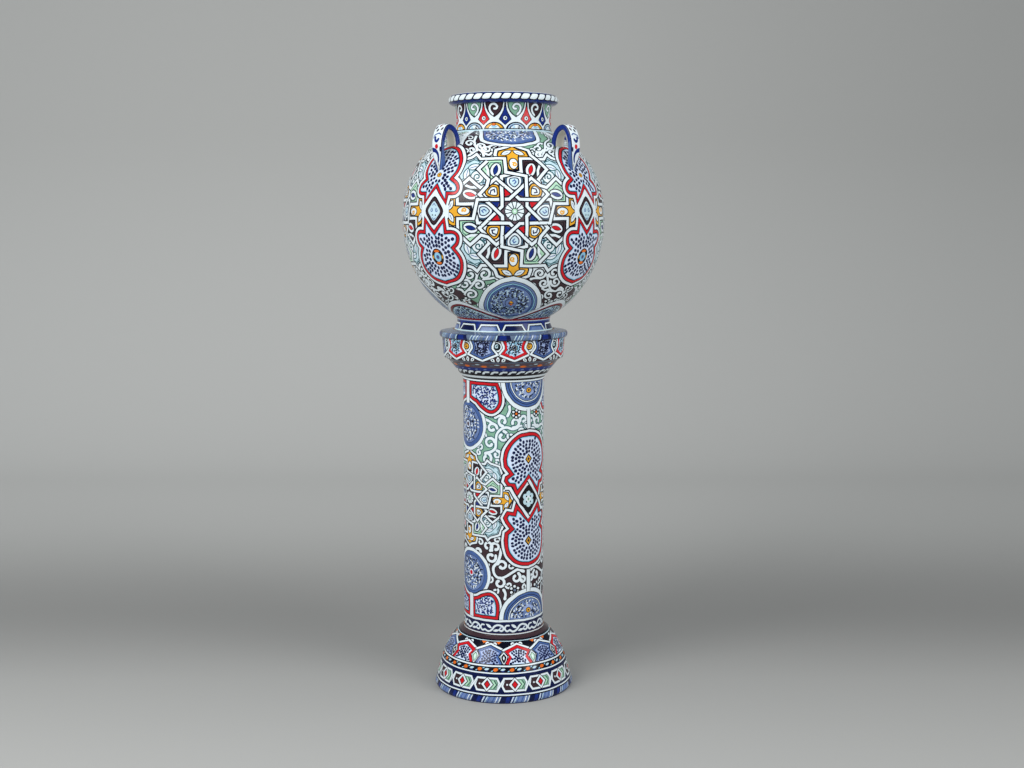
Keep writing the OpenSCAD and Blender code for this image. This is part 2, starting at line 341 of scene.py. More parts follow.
class Pen:
    # draws in millimetres about a point of the painting, turned, mirrored or scaled
    def __init__(self, painting, azimuth=0.0, up=0.0, turn=0.0, flip=False, scale=(1, 1), gap=5.0):
        self.painting, self.azimuth, self.up = painting, azimuth, up
        self.c, self.s = math.cos(math.radians(turn)), math.sin(math.radians(turn))
        self.flip, self.scale, self.gap = flip, scale, gap

    def put(self, loops, pigment):
        art = self.painting
        sx, sy = self.scale
        placed = []
        for loop in loops:
            q = densify(loop, self.gap / max(sx, sy))
            x = -q[:, 0] if self.flip else q[:, 0]
            px, py = sx * (x * self.c - q[:, 1] * self.s), sy * (x * self.s + q[:, 1] * self.c)
            v = art.base + self.up + py
            r = np.maximum(art.outline.at(v)[0], 5)
            u = (math.radians(self.azimuth) + px / r) * art.refRadius + art.width / 2
            placed.append(np.column_stack([u, v]))
        art.add(placed, pigment)

    def fill(self, loop, pigment):
        self.put([loop], pigment)

    def line(self, points, width, pigment, **ends):
        self.put(ribbon(points, width, **ends), pigment)

    def loop(self, points, width, pigment):
        self.line(points, width, pigment, closed=True)

    def stroke(self, points, width, pigment):
        self.line(points, width, pigment, rounded=True)

    def strap(self, points, width, edgeWidth=3.0):
        self.line(points, width + 2 * edgeWidth, "ink")
        self.line(points, width, "white")

    def cell(self, loop, pigment, edge="ink", edgeWidth=3.0):
        self.fill(loop, pigment)
        self.loop(loop, edgeWidth, edge)

    def oval(self, x, y, a, b, pigment, edge=None, edgeWidth=2.6, tilt=0, sides=18):
        if edge:
            more = edgeWidth / 2
            self.fill(ovalLoop(x, y, a + more, b + more, tilt, sides), edge)
            a, b = a - more, b - more
        self.fill(ovalLoop(x, y, a, b, tilt, sides), pigment)

    def lens(self, x, y, a, b, pigment, edge=None, edgeWidth=1.2, tilt=0):
        if edge:
            self.fill(lensLoop(x, y, a + edgeWidth, b + edgeWidth * 0.6, tilt), edge)
            a, b = a - edgeWidth * 0.5, b - edgeWidth * 0.5
        self.fill(lensLoop(x, y, a, b, tilt), pigment)

    def ovalRing(self, count, x, y, across, up, a, b, pigment, start=30, **more):
        # ovals evenly round a larger one
        for k in range(count):
            t = math.radians(360 / count * k + start)
            self.oval(x + across * math.cos(t), y + up * math.sin(t), a, b, pigment, **more)

    def scroll(self, strokes, edge, width=6.4, edgeWidth=2.8, curl=hook, shift=0):
        # Stems and curls that run together as one white vine, full at the eye: a list holds
        # a stem's points, a tuple is a curl with its x, y, radius, start and turns.
        strokes = [(curl(*s) if isinstance(s, tuple) else smooth(s)) + [shift, 0] for s in strokes]
        for pigment, extra in ((edge, 2 * edgeWidth), ("white", 0)):
            for s in strokes:
                t = np.linspace(0, 1, len(s))
                self.stroke(s, width * (0.9 - 0.25 * t + 0.4 * t ** 6) + extra, pigment)

    def dots(self, region, eye, gap, size, pigment, seed=1, inset=5.2):
        # rings of dabs round an eye, set in from the region's edge
        x, y, r = eye
        rnd = random.Random(seed)
        ring, far, row = densify(region, 4), np.hypot(*(region - [x, y]).T).max(), 0
        r += gap * 0.7
        while r < far:
            count = max(6, round(2 * math.pi * r / gap))
            for k in range(count):
                a = 2 * math.pi * (k + 0.38 * row + rnd.uniform(-0.14, 0.14)) / count
                px, py = x + r * math.cos(a), y + r * math.sin(a)
                wide, tall = size * rnd.uniform(0.48, 0.66), size * rnd.uniform(0.42, 0.56)
                if np.hypot(*(ring - [px, py]).T).min() > inset and within(region, [(px, py)])[0]:
                    self.fill(ovalLoop(px, py, wide, tall, math.degrees(a) + rnd.uniform(-25, 25), 6),
                              pigment)
            r += gap * 0.92
            row += 1


def topPigment(painting, x, y):
    # the last shape painted over each point
    names = sorted({p for _, p in painting.shapes} | {painting.ground, painting.plain})
    lo, hi = painting.reach
    painted = (y > lo) & (y < hi)
    out = np.where(painted, names.index(painting.ground), names.index(painting.plain))
    todo = np.where(painted)[0]
    todo = todo[np.argsort(x[todo])]
    free = np.ones(len(todo), bool)
    xs, ys = x[todo], y[todo]
    for loops, pigment in reversed(painting.shapes):
        every = np.vstack(loops)
        lo2, hi2 = every.min(0), every.max(0)
        a, b = np.searchsorted(xs, lo2[0]), np.searchsorted(xs, hi2[0])
        pick = a + np.where(free[a:b] & (ys[a:b] >= lo2[1]) & (ys[a:b] <= hi2[1]))[0]
        if len(pick):
            hit = pick[windingOf(loops, xs[pick], ys[pick]) != 0]
            free[hit] = False
            out[todo[hit]] = names.index(pigment)
    return out, names


def triangulate(points, edges):
    co, _, faces, _, _, _ = delaunay_2d_cdt([Vector(p) for p in points], edges, [], 0, 2e-4, True)
    return np.array([tuple(c) for c in co]), np.array([f for f in faces], int)


def cutSheet(painting, near=4e-3, over=5, close=0.45, axisRadius=12, widest=9):
    # One repeat of the painted surface as triangles, each of one pigment. Points nearer than
    # near mm are one, lines run over the sheet's edge, rows closer than that share of the gap
    # are dropped, and a column is never wider than so many degrees.
    outline, width = painting.outline, painting.width
    length, (lo, hi) = outline.length, painting.reach
    points, edges = [], []

    def addChain(chain, closed=False):
        start = len(points)
        points.extend(map(tuple, chain))
        edges.extend((start + i, start + i + 1) for i in range(len(chain) - 1))
        if closed:
            edges.append((start + len(chain) - 1, start))

    def cut():
        co, tris = triangulate(points, edges)
        mid = co[tris].mean(1)
        inside = (mid[:, 0] > 0) & (mid[:, 0] < width) & (mid[:, 1] > 0) & (mid[:, 1] < length)
        return co, tris[inside], *topPigment(painting, *mid[inside].T)

    for loops, _ in painting.shapes:
        for loop in loops:
            addChain(loop, True)
    for u in (0, width):
        addChain([(u, -over), (u, length + over)])
    for v in (lo, hi):
        addChain([(-over, v), (width + over, v)])
    co, tris, colour, _ = cut()
    # only the lines where the colour changes are kept
    sides = np.vstack([tris[:, (0, 1)], tris[:, (1, 2)], tris[:, (2, 0)]])
    owner = np.tile(colour, 3)
    sides.sort(axis=1)
    order = np.lexsort((sides[:, 1], sides[:, 0]))
    sides, owner = sides[order], owner[order]
    same = (sides[1:] == sides[:-1]).all(1)
    change = sides[:-1][same & (owner[1:] != owner[:-1])]
    used = np.unique(change)
    renumber = {int(k): i for i, k in enumerate(used)}
    points = [tuple(np.round(co[k], 4)) for k in used]
    edges = [(renumber[int(a)], renumber[int(b)]) for a, b in change]
    # grid points follow the outline, closer together where it is painted
    rows = sorted([*zip(outline.along, outline.sharp), *((v, True) for v in (lo, hi) if 0 < v < length)])
    last, borders = -1e9, []
    for v, sharp in rows:
        want = painting.gap if lo - 1e-6 <= v <= hi + 1e-6 else painting.plainGap
        if v - last < 1e-3 or not sharp and v - last < close * want:
            continue
        last = v
        borders.append(v)
        r = max(outline.at(np.array([v]))[0][0], axisRadius)
        n = max(1, int(round(math.radians(painting.repeat) * r / want)), int(painting.repeat / widest))
        if sharp:
            addChain([(width * i / n, v) for i in range(n + 1)])
        else:
            shift = 0.5 * (len(borders) % 2)
            points.extend((width * (i + shift) / n, v) for i in range(0 if shift else 1, n))
    # the two sides get the same points, so that the repeats join up
    sides = [min(abs(p[0]), abs(p[0] - width)) < near for p in points]
    found = sorted(borders + [p[1] for p, s in zip(points, sides) if s])
    borders = [v for i, v in enumerate(found) if i == 0 or v - found[i - 1] > near]
    values = np.array(borders)
    points = [(0.0 if p[0] < width / 2 else width, float(values[abs(values - p[1]).argmin()])) if s else p
              for p, s in zip(points, sides)]
    for u in (0, width):
        addChain([(u, v) for v in borders])
    return cut()


# The hand is never quite steady: each wave as its count round the piece, the height in mm
# over which it turns one radian, and its start. It is calm near the edges, over so many mm.
waver = {"round": ((4, -31, 2), (9, 19, 0), (23, -9, 1)), "up": ((3, 37, 0), (8, -23, 1.7), (19, 11, 4)),
         "calm": 12, "leastRadius": 40}


def waved(art, az, v):
    az = az + math.radians(art.drift) * np.sin(2 * az - 2 * math.radians(art.turn))
    if not art.wobble:
        return az, v
    lo, hi = art.reach
    calm = np.clip((v - lo) / waver["calm"], 0, 1) * np.clip((hi - v) / waver["calm"], 0, 1)
    around, up = (sum(np.sin(n * az + v / h + s) for n, h, s in waver[way]) / 2 for way in ("round", "up"))
    r = np.maximum(art.outline.at(v)[0], waver["leastRadius"])
    return az + art.wobble * around * calm / r, v + art.wobble * up * calm


def wrap(name, art, body, nodes):
    # rolls the sheet up into the piece, once for each repeat
    outline = art.outline
    co, tris, colour, names = cutSheet(art)
    copies, count = int(round(360 / art.repeat)), len(co)

    def onLine(axis, value):
        # the sheet's points on one of its sides, in order
        found = np.where(abs(co[:, axis] - value) < 1e-3)[0]
        return found[np.argsort(co[found, 1 - axis])]

    left, right, low, high = onLine(0, 0), onLine(0, art.width), onLine(1, 0), onLine(1, outline.length)
    if len(left) != len(right) or abs(co[left, 1] - co[right, 1]).max() > 0.02:
        raise ValueError(f"{name}: the repeat's sides differ, {len(left)} and {len(right)}")
    if not outline.onAxis and len(low) != len(high):
        raise ValueError(f"{name}: the seam's sides differ, {len(low)} and {len(high)}")
    # points that meet round the piece, at the seam or on the axis get one number
    seam = {} if outline.onAxis else dict(zip(high.tolist(), low.tolist()))
    one = np.array([seam.get(i, i) for i in range(count)])
    ident = np.empty((copies, count), int)
    for k in range(copies):
        ident[k] = k * count + one
        ident[k, right] = ((k + 1) % copies) * count + one[left]
        if outline.onAxis:
            ident[k, low], ident[k, high] = low[0], high[0]

    places, normals, faces = [], [], []
    corner = co[tris] * 0.9995 + co[tris].mean(1)[:, None] * 0.0005
    for k in range(copies):
        start = math.radians(art.turn - art.repeat / 2) + k * math.radians(art.repeat)
        places.append(outline.place(*waved(art, start + co[:, 0] / art.refRadius, co[:, 1])))
        normals.append(outline.normal(*waved(art, start + corner[..., 0].ravel() / art.refRadius,
                                             corner[..., 1].ravel())))
        faces.append(ident[k][tris])
    places, faces, normals = np.vstack(places), np.vstack(faces), np.vstack(normals).reshape(-1, 3, 3)
    colour = np.tile(colour, copies)
    good = (faces != np.roll(faces, 1, 1)).all(1)
    faces, normals, colour = faces[good], normals[good], colour[good]
    keep, faces = np.unique(faces, return_inverse=True)
    meshPiece(name, places[keep], faces.reshape(-1, 3), normals, colour, names, body, nodes)


def meshPiece(name, places, faces, normals, colour, names, body, nodes):
    corner = places[faces]
    across = np.cross(corner[:, 1] - corner[:, 0], corner[:, 2] - corner[:, 0])
    wrong = (across * normals.sum(1)).sum(1) < 0
    faces[wrong], normals[wrong] = faces[wrong][:, ::-1], normals[wrong][:, ::-1]
    mesh = bpy.data.meshes.new(name)
    mesh.from_pydata(places.tolist(), [], faces.tolist())
    mesh.polygons.foreach_set("use_smooth", np.ones(len(faces), bool))
    inUse = np.unique(colour)
    for i in inUse:
        mesh.materials.append(glazes[names[i]])
    mesh.polygons.foreach_set("material_index", np.searchsorted(inUse, colour).astype(np.int32))
    mesh.normals_split_custom_set(normals.reshape(-1, 3).tolist())
    mesh.update()
    piece = bpy.data.objects.new(name, mesh)
    bpy.context.scene.collection.objects.link(piece)
    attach(piece, body)
    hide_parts(*nodes)
    print(f"{name}: {len(faces)} triangles, {len(inUse)} pigments")


# glazes

def linear(value):
    v = value / 255
    return v / 12.92 if v <= 0.04045 else ((v + 0.055) / 1.055) ** 2.4


def addNode(tree, kind, *values, settings=(), **sockets):
    # numbers are set on the sockets, the outputs of other nodes are linked to them
    node = tree.nodes.new("ShaderNode" + kind)
    for key, value in dict(settings).items():
        setattr(node, key, value)
    for socket, value in [*zip(node.inputs, values), *((node.inputs[k], v) for k, v in sockets.items())]:
        if isinstance(value, bpy.types.NodeSocket):
            tree.links.new(value, socket)
        else:
            socket.default_value = value
    return node


glaze = {
    "brush": {"Scale": 240.0, "Detail": 4.0, "Roughness": 0.6},
    "pool": {"Scale": 46.0, "Detail": 3.0, "Roughness": 0.55},
    "ripple": {"Scale": 26.0, "Detail": 2.0, "Roughness": 0.5},
    "peel": {"Scale": 520.0, "Detail": 2.0},
    "streakReach": 0.9, "streakLift": 0.008,    # how far the brush marks go from the pigment's colour
    "brushShare": 0.9, "pooling": (1.5, -0.7),    # how the marks mix: share, and contrast and shift
    "rippleBump": (0.25, 0.0012), "peelBump": (0.10, 0.0002),    # strength and height in m
    "specular": 0.22, "coat": 0.14, "coatRoughness": 0.12, "glossyBelow": 0.5,
}


def makeGlaze(name, red, green, blue, streak, rough):
    # tin glaze over painted pigment: brush marks, pooling, a soft ripple
    mat = bpy.data.materials.new(name + "Glaze")
    mat.use_nodes = True
    tree = mat.node_tree
    place = addNode(tree, "TexCoord").outputs["Object"]
    brush, pool, ripple, peel = (addNode(tree, "TexNoise", Vector=place, **glaze[key]).outputs["Fac"]
                                 for key in ("brush", "pool", "ripple", "peel"))
    reach = streak * glaze["streakReach"]
    colour = [linear(c) for c in (red, green, blue)]
    dark = [c * (1 - reach) for c in colour]
    pale = [min(1, c * (1 + reach) + streak * glaze["streakLift"]) for c in colour]
    addUp = {"operation": "MULTIPLY_ADD"}
    pooled = addNode(tree, "Math", pool, *glaze["pooling"], settings=addUp).outputs[0]
    marks = addNode(tree, "Math", brush, glaze["brushShare"], pooled, settings=addUp).outputs[0]
    share = addNode(tree, "Clamp", Value=marks).outputs[0]
    tint = addNode(tree, "Mix", settings={"data_type": "RGBA"}, Factor=share, A=(*dark, 1), B=(*pale, 1))
    soft = addNode(tree, "Bump", *glaze["rippleBump"], Height=ripple)
    fine = addNode(tree, "Bump", *glaze["peelBump"], Height=peel, Normal=soft.outputs["Normal"])
    shader = tree.nodes["Principled BSDF"]
    tree.links.new(tint.outputs["Result"], shader.inputs["Base Color"])
    tree.links.new(fine.outputs["Normal"], shader.inputs["Normal"])
    shader.inputs["Roughness"].default_value = rough
    shader.inputs["Specular IOR Level"].default_value = glaze["specular"]
    if rough < glaze["glossyBelow"]:
        shader.inputs["Coat Weight"].default_value = glaze["coat"]
        shader.inputs["Coat Roughness"].default_value = glaze["coatRoughness"]
    return mat


glazes = {name: makeGlaze(name, *values) for name, values in pigments.items()}
print("glazes ready:", len(glazes))


# the jar's body

jar = {
    "look": {
        "level": 1174.6,    # height of the star's centre, mm
        "repeat": 90, "turn": 5.9,    # degrees, turned to the right
        "plain": "cream", "gap": 7, "plainGap": 18, "wobble": 0.7, "drift": 1.6,
    },
    "strap": 6.4,           # width of the white straps, mm
    "medallion": 45, "rim": 8.4, "band": 5.3,    # degrees from the star, its white rim and red band
}


def joinBody(bowl, dome):
    # one outline from the two thrown halves, which meet at the belly
    (b, _), (d, _) = bowl, dome
    seam = b[:, 1].max()
    top = np.where(b[:, 1] > seam - 0.05)[0]
    outer, inner = top[np.argmax(b[top, 0])], top[np.argmin(b[top, 0])]
    foot = np.where(d[:, 1] < d[:, 1].min() + 0.05)[0]
    d = np.roll(d, -foot[np.argmax(d[foot, 0])], 0)
    return np.vstack([b[:outer], d[:-1] if abs(d[-1, 1] - seam) < 0.05 else d, b[inner:]])


def starCells(art, **where):
    for k in range(4):
        for flip in (False, True):
            pen = Pen(art, turn=90 * k, flip=flip, **where)
            # small kite between the straps, red to the left and cobalt to the right
            pen.fill([(0, 37), (27, 64), (27, 26), (11, 26)], "red" if flip else "cobalt")
            # almond cell
            ground, lens = ("leaf", "cobalt") if flip else ("umber", "red")
            cell = [(46, 73), (68, 97), (52, 121), (20, 121), (18, 84)]
            pen.fill(cell, ground)
            pen.loop(shrink(cell, 6.5), 2.0, "teal" if flip else "soot")
            pen.oval(38, 96, 12, 18, "white", "ink", 2.8, tilt=14 if flip else -14)
            pen.lens(38, 96, 13, 4.8, lens, "ink", 1.3, tilt=104 if flip else 76)
        pen = Pen(art, turn=90 * k, **where)
        # pale cell with a curl, above the star's point
        five = smooth([(0, 44), (15, 56), (19, 70), (13, 83), (-13, 83), (-19, 70), (-15, 56)], True, 3)
        pen.cell(five, "sky")
        pen.cell((five - [0, 66]) * 0.84 + [0, 66], "white", "navy", 2.2)
        pen.cell((five - [0, 66]) * 0.52 + [0, 66], "pale", "navy", 2.4)
        pen.stroke([(-3, 68), (1, 71), (4, 66), (0, 62)], 2.6, "blue")
        # ochre ring in the star's corner
        ring = smooth([(31, 33), (32, 50), (37, 60), (46, 62), (57, 54), (61, 44), (57, 33),
                       (44, 31)], True, 3)
        pen.cell(ring, "ochre")
        pen.cell((ring - [45, 46]) * 0.64 + [45, 45.5], "white", "soot", 2.4)
        pen.stroke([(40, 51), (47, 49), (49, 42), (43, 41)], 3.0, "navy")
        # pale corner cell with two leaves and a curl
        corner = [(60, 119), (77, 97), (56, 76), (60, 60), (76, 56), (97, 77), (119, 60), (125, 70),
                  (135, 79), (127, 91), (118, 118), (90, 127), (79, 135), (70, 125)]
        pen.fill(corner, "pale")
        pen.loop(shrink(corner, 7), 2.2, "teal")
        for side in (False, True):
            leaf = Pen(art, turn=90 * k - 45, flip=side, **where)
            leaf.stroke([(5, 88), (15, 92), (28, 105), (34, 118)], 5.4, "white")
            leaf.line([(8, 85), (17, 88), (31, 102), (38, 116)], 2.4, "pine")
            leaf.lens(13, 133, 16, 7.4, "white", "teal", 2.4, tilt=-28)
            leaf.line([(3, 138), (18, 130)], 1.8, "blue")
            leaf.stroke([(6, 151), (26, 146), (33, 131)], 2.0, "teal")
        leaf = Pen(art, turn=90 * k - 45, **where)
        leaf.oval(0, 111, 16, 15, "white", "teal", 2.8)
        leaf.stroke(spiral(0, 111, 9.4, 250, -1.15), 3.2, "teal")
        leaf.oval(0, 86, 5, 6.5, "sky", "navy", 2.0, sides=10)
        # ochre panel: a stem with a ring, and an arrow head with two leaves
        stem = [(-13, 134), (-13, 104), (-10, 97), (0, 94), (10, 97), (13, 104), (13, 134)]
        head = [(-36, 131), (-29, 148), (-10, 155), (0, 163), (12, 154), (29, 148), (36, 131)]
        pen.cell(head, "ochre")
        pen.cell(stem, "ochre")
        pen.fill([(-12.2, 128), (12.2, 128), (12.2, 136), (-12.2, 136)], "ochre")
        pen.oval(1, 112, 9.8, 15, "white", "soot", 2.6)
        pen.stroke(spiral(2.6, 110, 5.8, 120, -1.05), 3.6, "ochre")
        pen.lens(-13, 143, 13.5, 6.4, "white", "soot", 2.2, tilt=-152)
        pen.lens(14, 143, 13.5, 6.4, "white", "soot", 2.2, tilt=152)
        pen.line([(-18, 141), (-8, 145)], 1.5, "blue")
        pen.line([(18, 141), (9, 145)], 1.5, "blue")


def starRosette(art, **where):
    pen = Pen(art, **where)
    pen.oval(0, 0, 38, 38, "brown", sides=28)
    for k in range(12):
        petal = Pen(art, turn=30 * k, **where)
        petal.cell([(-1.0, 5), (-4.8, 18), (-3.8, 21.5), (0, 20.5), (3.8, 21.8), (4.8, 18), (1.0, 5)],
                   "white", "pine", 1.7)
    pen.oval(0, 0, 6.4, 6.4, "leaf", "pine", 1.4, sides=16)
    pen.oval(0, 0, 2.4, 2.4, "white", sides=12)


def starStraps(art, **where):
    # eight straps woven round the star; each crossing is redone where the lower one ran over
    a = [(-168, 0), (-152, 35), (-137, 40), (-97, 76), (-72, 54), (-57, 58), (-38, 75.5), (11, 26.5),
         (80, 26.5), (86, 0), (90, -17), (126, -17), (126, -40)]
    b = [(119, 56), (97, 76), (72, 54), (57, 58), (38, 75.5), (-11, 26.5), (-80, 26.5), (-86, 0),
         (-90, -17), (-126, -17), (-126, -40)]
    border = [(-17, 96), (-17, 126), (-70, 125), (-79, 139), (-90, 129), (-119, 119), (-129, 90), (-139, 79),
              (-125, 70), (-126, 17), (-96, 17)]
    head = [(-36, 126), (-38, 136), (-34, 152), (-8, 162), (0, 169)]
    width = jar["strap"]
    for k in range(4):
        pen = Pen(art, turn=90 * k, **where)
        pen.strap(head, width)
        pen.strap(border, width)
        pen.strap([(-17, 104), (-14, 93), (0, 87), (14, 93), (17, 104)], width)
    for path in (a, b):
        for k in range(4):
            Pen(art, turn=90 * k, **where).strap(path, width)
    for k in range(4):
        pen = Pen(art, turn=90 * k, **where)
        pen.strap([(17, 26.5), (36, 26.5)], width)
        pen.strap([(-33, 70.5), (-20, 57.5)], width)
        pen.strap([(-55, 26.5), (-73, 26.5)], width)
        pen.line([(-17, 122), (-17, 126), (-22, 126)], width, "white")
        pen.line([(-126, 22), (-126, 17), (-121, 17)], width, "white")


def dashField(pen, region, gap, seed, skip=(), inks=("ink", "white", "ink"), size=2.6, inset=3.4):
    # short hooked brush marks over a plain ground
    rnd = random.Random(seed)
    region = np.asarray(region, float)
    ring = densify(region, 4)
    lo, hi = region.min(0), region.max(0)
    for pigment, share in zip(inks, (0.9, 0.9, 0.5)):
        y = lo[1]
        while y < hi[1]:
            x = lo[0] + rnd.uniform(0, gap)
            while x < hi[0]:
                px, py, a = x + rnd.uniform(-2, 2), y + rnd.uniform(-2, 2), rnd.uniform(20, 160)
                if rnd.random() < share and within(region, [(px, py)])[0] \
                        and np.hypot(*(ring - [px, py]).T).min() > inset \
                        and not any(math.hypot(px - cx, py - cy) < cr for cx, cy, cr in skip):
                    r, bend = rnd.uniform(2.6, 4.6), rnd.uniform(1.2, 3.0)
                    sweep = math.radians(a) + np.linspace(0, bend, 4)
                    pen.line(np.column_stack([px + r * np.cos(sweep), py + r * np.sin(sweep)]), size, pigment)
                x += gap * 1.3
            y += gap * 1.05


def redField(pen, loop, band):
    # a field edged with red, then a fine pale line
    pen.fill(loop, "sky")
    pen.fill(shrink(loop, band * 0.5 + 4.4), "mist")
    pen.loop(loop, band + 4.6, "ink")
    pen.loop(loop, band, "red")


def medallion(art):
    pen, rim, band = Pen(art, azimuth=jar["medallion"]), jar["rim"], jar["band"]
    upper = loopOf(np.vstack([[(0, 59)], [(33, 20), (34, 41)], smooth([(34, 41), (54, 42), (60, 51), (54, 64),
                                                                       (38, 75)], steps=4)[1:],
                              smooth([(38, 75), (48, 93), (48, 118), (38, 138), (20, 157), (0, 165)],
                                     steps=4)[1:]]))
    lower = loopOf(np.vstack([[(0, -49)], [(31, -19), (34, -48)],
                              smooth([(34, -48), (56, -48), (66, -57), (63, -73), (50, -84)], steps=4)[1:],
                              smooth([(50, -84), (62, -100), (66, -118), (58, -141), (37, -160), (0, -171)],
                                     steps=4)[1:]]))
    waist = loopOf([(0, 64), (44, 12), (44, -12), (0, -56)])
    lower = lower * [0.95, 1]
    for loop in (upper, lower):
        pen.loop(loop, band + 2 * rim + 6.0, "ink")
    pen.fill(waist, "ink")
    for loop in (upper, lower):
        pen.loop(loop, band + 2 * rim, "white")
    pen.fill(waist * 0.985, "white")
    for loop, eye in ((upper, (0, 86, 9)), (lower, (0, -106, 20))):
        redField(pen, loop, band)
        pen.dots(shrink(loop, 4), eye, 10.2, 8.7, "navy")
    pen.oval(0, 86, 7.4, 6.2, "soot", sides=12)
    pen.oval(0, 86, 6.0, 4.8, "ochre", sides=12)
    pen.oval(0, 86, 2.4, 2.0, "umber", sides=8)
    pen.oval(0, -106, 18, 20, "soot", sides=20)
    for y in (-92.5, -120):
        pen.lens(0, y, 9, 3.6, "orange")
    for x in (-14.2, 14.2):
        pen.lens(x, -106, 5, 2.2, "ochre", tilt=90)
    pen.oval(0, -106, 10.5, 11, "sky", sides=16)
    pen.oval(0, -106, 5, 5, "blue", sides=10)
    pen.oval(0, -106, 2.4, 2.4, "brown", sides=8)
    diamond = smooth([(0, 33), (17, 16), (27, 0), (17, -16), (0, -31), (-17, -16), (-27, 0),
                      (-17, 16)], True, 3)
    pen.cell(diamond, "umber", "soot")
    pen.cell(diamond * 0.72, "pale", "soot", 1.2)
    for x in (-8, 8):
        pen.stroke(spiral(x, 2, 4.6, 90, 1.0 if x > 0 else -1.0), 2.0, "blue")
        pen.oval(x * 0.6, -9, 2.0, 2.0, "ink", sides=6)
    pen.line([(-5, 13), (0, 18), (5, 13)], 1.8, "blue")
    pen.line([(-5, -15), (0, -19), (5, -15)], 1.8, "blue")


def scrollCorners(art):
    # four grounds between star and medallions, brown and green, with white curls
    upper = [(14, 172), (44, 150), (76, 138), (120, 118), (116, 150), (108, 190), (96, 215), (78, 243),
             (70, 236), (60, 196), (40, 180)]
    lower = [(10, 172), (44, 150), (76, 138), (122, 118), (128, 150), (150, 176), (178, 190), (190, 236),
             (140, 243), (96, 262), (64, 290), (50, 300), (60, 200), (36, 178)]
    pen = Pen(art)
    for side, loop, pigment, edge, strokes in (
            ((-1, 1), upper, "umber", "soot", [
                [(-62, 128), (-66, 145), (-78, 160), (-82, 182), (-76, 205)],
                (-94, 177, 13.5, -30, 1.1), (-66, 165, 11, 200, -1.1),
                (-55, 156, 11.5, 170, 1.15), (-88, 154, 11.5, 20, -1.1),
                [(-66, 145), (-52, 136), (-44, 142)], [(-84, 146), (-98, 134), (-104, 128)],
                [(-48, 164), (-40, 168), (-34, 166)]]),
            ((1, 1), upper, "green", "pine", [
                [(66, 128), (74, 146), (78, 160), (82, 180), (96, 196), (92, 214)],
                (60, 158, 13.5, -20, -1.15), (93, 171, 13, 190, 1.1),
                (92, 148, 12, 160, -1.15), (60, 138, 9, 40, 1.0),
                [(96, 138), (104, 130), (110, 124)], [(60, 169), (66, 178), (72, 176)]]),
            ((-1, -1), lower, "green", "pine", [
                [(-78, -138), (-80, -158), (-86, -172), (-100, -190), (-108, -206), (-100, -222)],
                (-95, -149, 16, 0, 1.2), (-62, -147, 16, 180, -1.2), (-108, -174, 14.5, 10, 1.2),
                (-74, -176, 14.5, 170, -1.2), (-126, -203, 16, 20, 1.2), (-92, -204, 16, 160, -1.2),
                [(-64, -160), (-50, -158), (-40, -156), (-33, -160)],
                [(-62, -188), (-54, -184), (-52, -178)]]),
            ((1, -1), lower, "umber", "soot", [
                [(78, -146), (80, -160), (86, -178), (92, -190), (108, -196), (120, -186), (130, -192)],
                (60, -145, 14.5, 0, -1.2), (95, -145, 14.5, 180, 1.2), (71, -172, 13.5, 10, -1.2),
                (103, -169, 14.5, 170, 1.2), (90, -208, 14.5, 60, 1.15), (122, -206, 14.5, 120, -1.15),
                [(62, -158), (48, -158), (40, -160)], [(86, -190), (76, -192), (70, -188)],
                [(136, -206), (142, -194), (150, -196)]])):
        pen.fill(np.array(loop) * side, pigment)
        pen.scroll(strokes, edge, curl=spiral)
    flower(pen, -105, -226, 9.5, "orange", "pine")
    flower(pen, 92, -232, 9.5, "garnet", "soot")
    low = [(-128, -230, 9), (-70, -238, 8), (118, -230, 9), (68, -238, 8), (-90, -250, 8), (104, -250, 8),
           (146, -214, 10), (-150, -216, 10), (-128, -172, 10), (-146, -192, 9), (148, -190, 9),
           (-58, -212, 9), (66, -214, 9), (168, -228, 8), (-168, -232, 8), (-42, -178, 8), (44, -180, 8),
           (128, -160, 9)]
    high = [(-118, 142, 8), (-104, 150, 8), (-40, 152, 7), (-72, 222, 8), (-92, 200, 9), (116, 140, 8),
            (106, 152, 8), (44, 152, 7), (86, 226, 8), (100, 206, 8), (62, 196, 8), (-58, 190, 8)]
    for way, width, edgeWidth, curls in ((1, 4.4, 2.2, low), (-1, 4.2, 2.0, high)):
        for x, y, r in curls:
            green = way * x < 0
            pen.scroll([(x, y, r, 40 + way * x, 1.1 if green else -1.1)], "pine" if green else "soot", width,
                       edgeWidth)


def flower(pen, x, y, size, dot, edge):
    pen.ovalRing(6, x, y, size, size, size * 0.48, size * 0.48, "white", edge=edge, sides=10)
    pen.oval(x, y, size * 0.5, size * 0.5, dot, edge, sides=10)


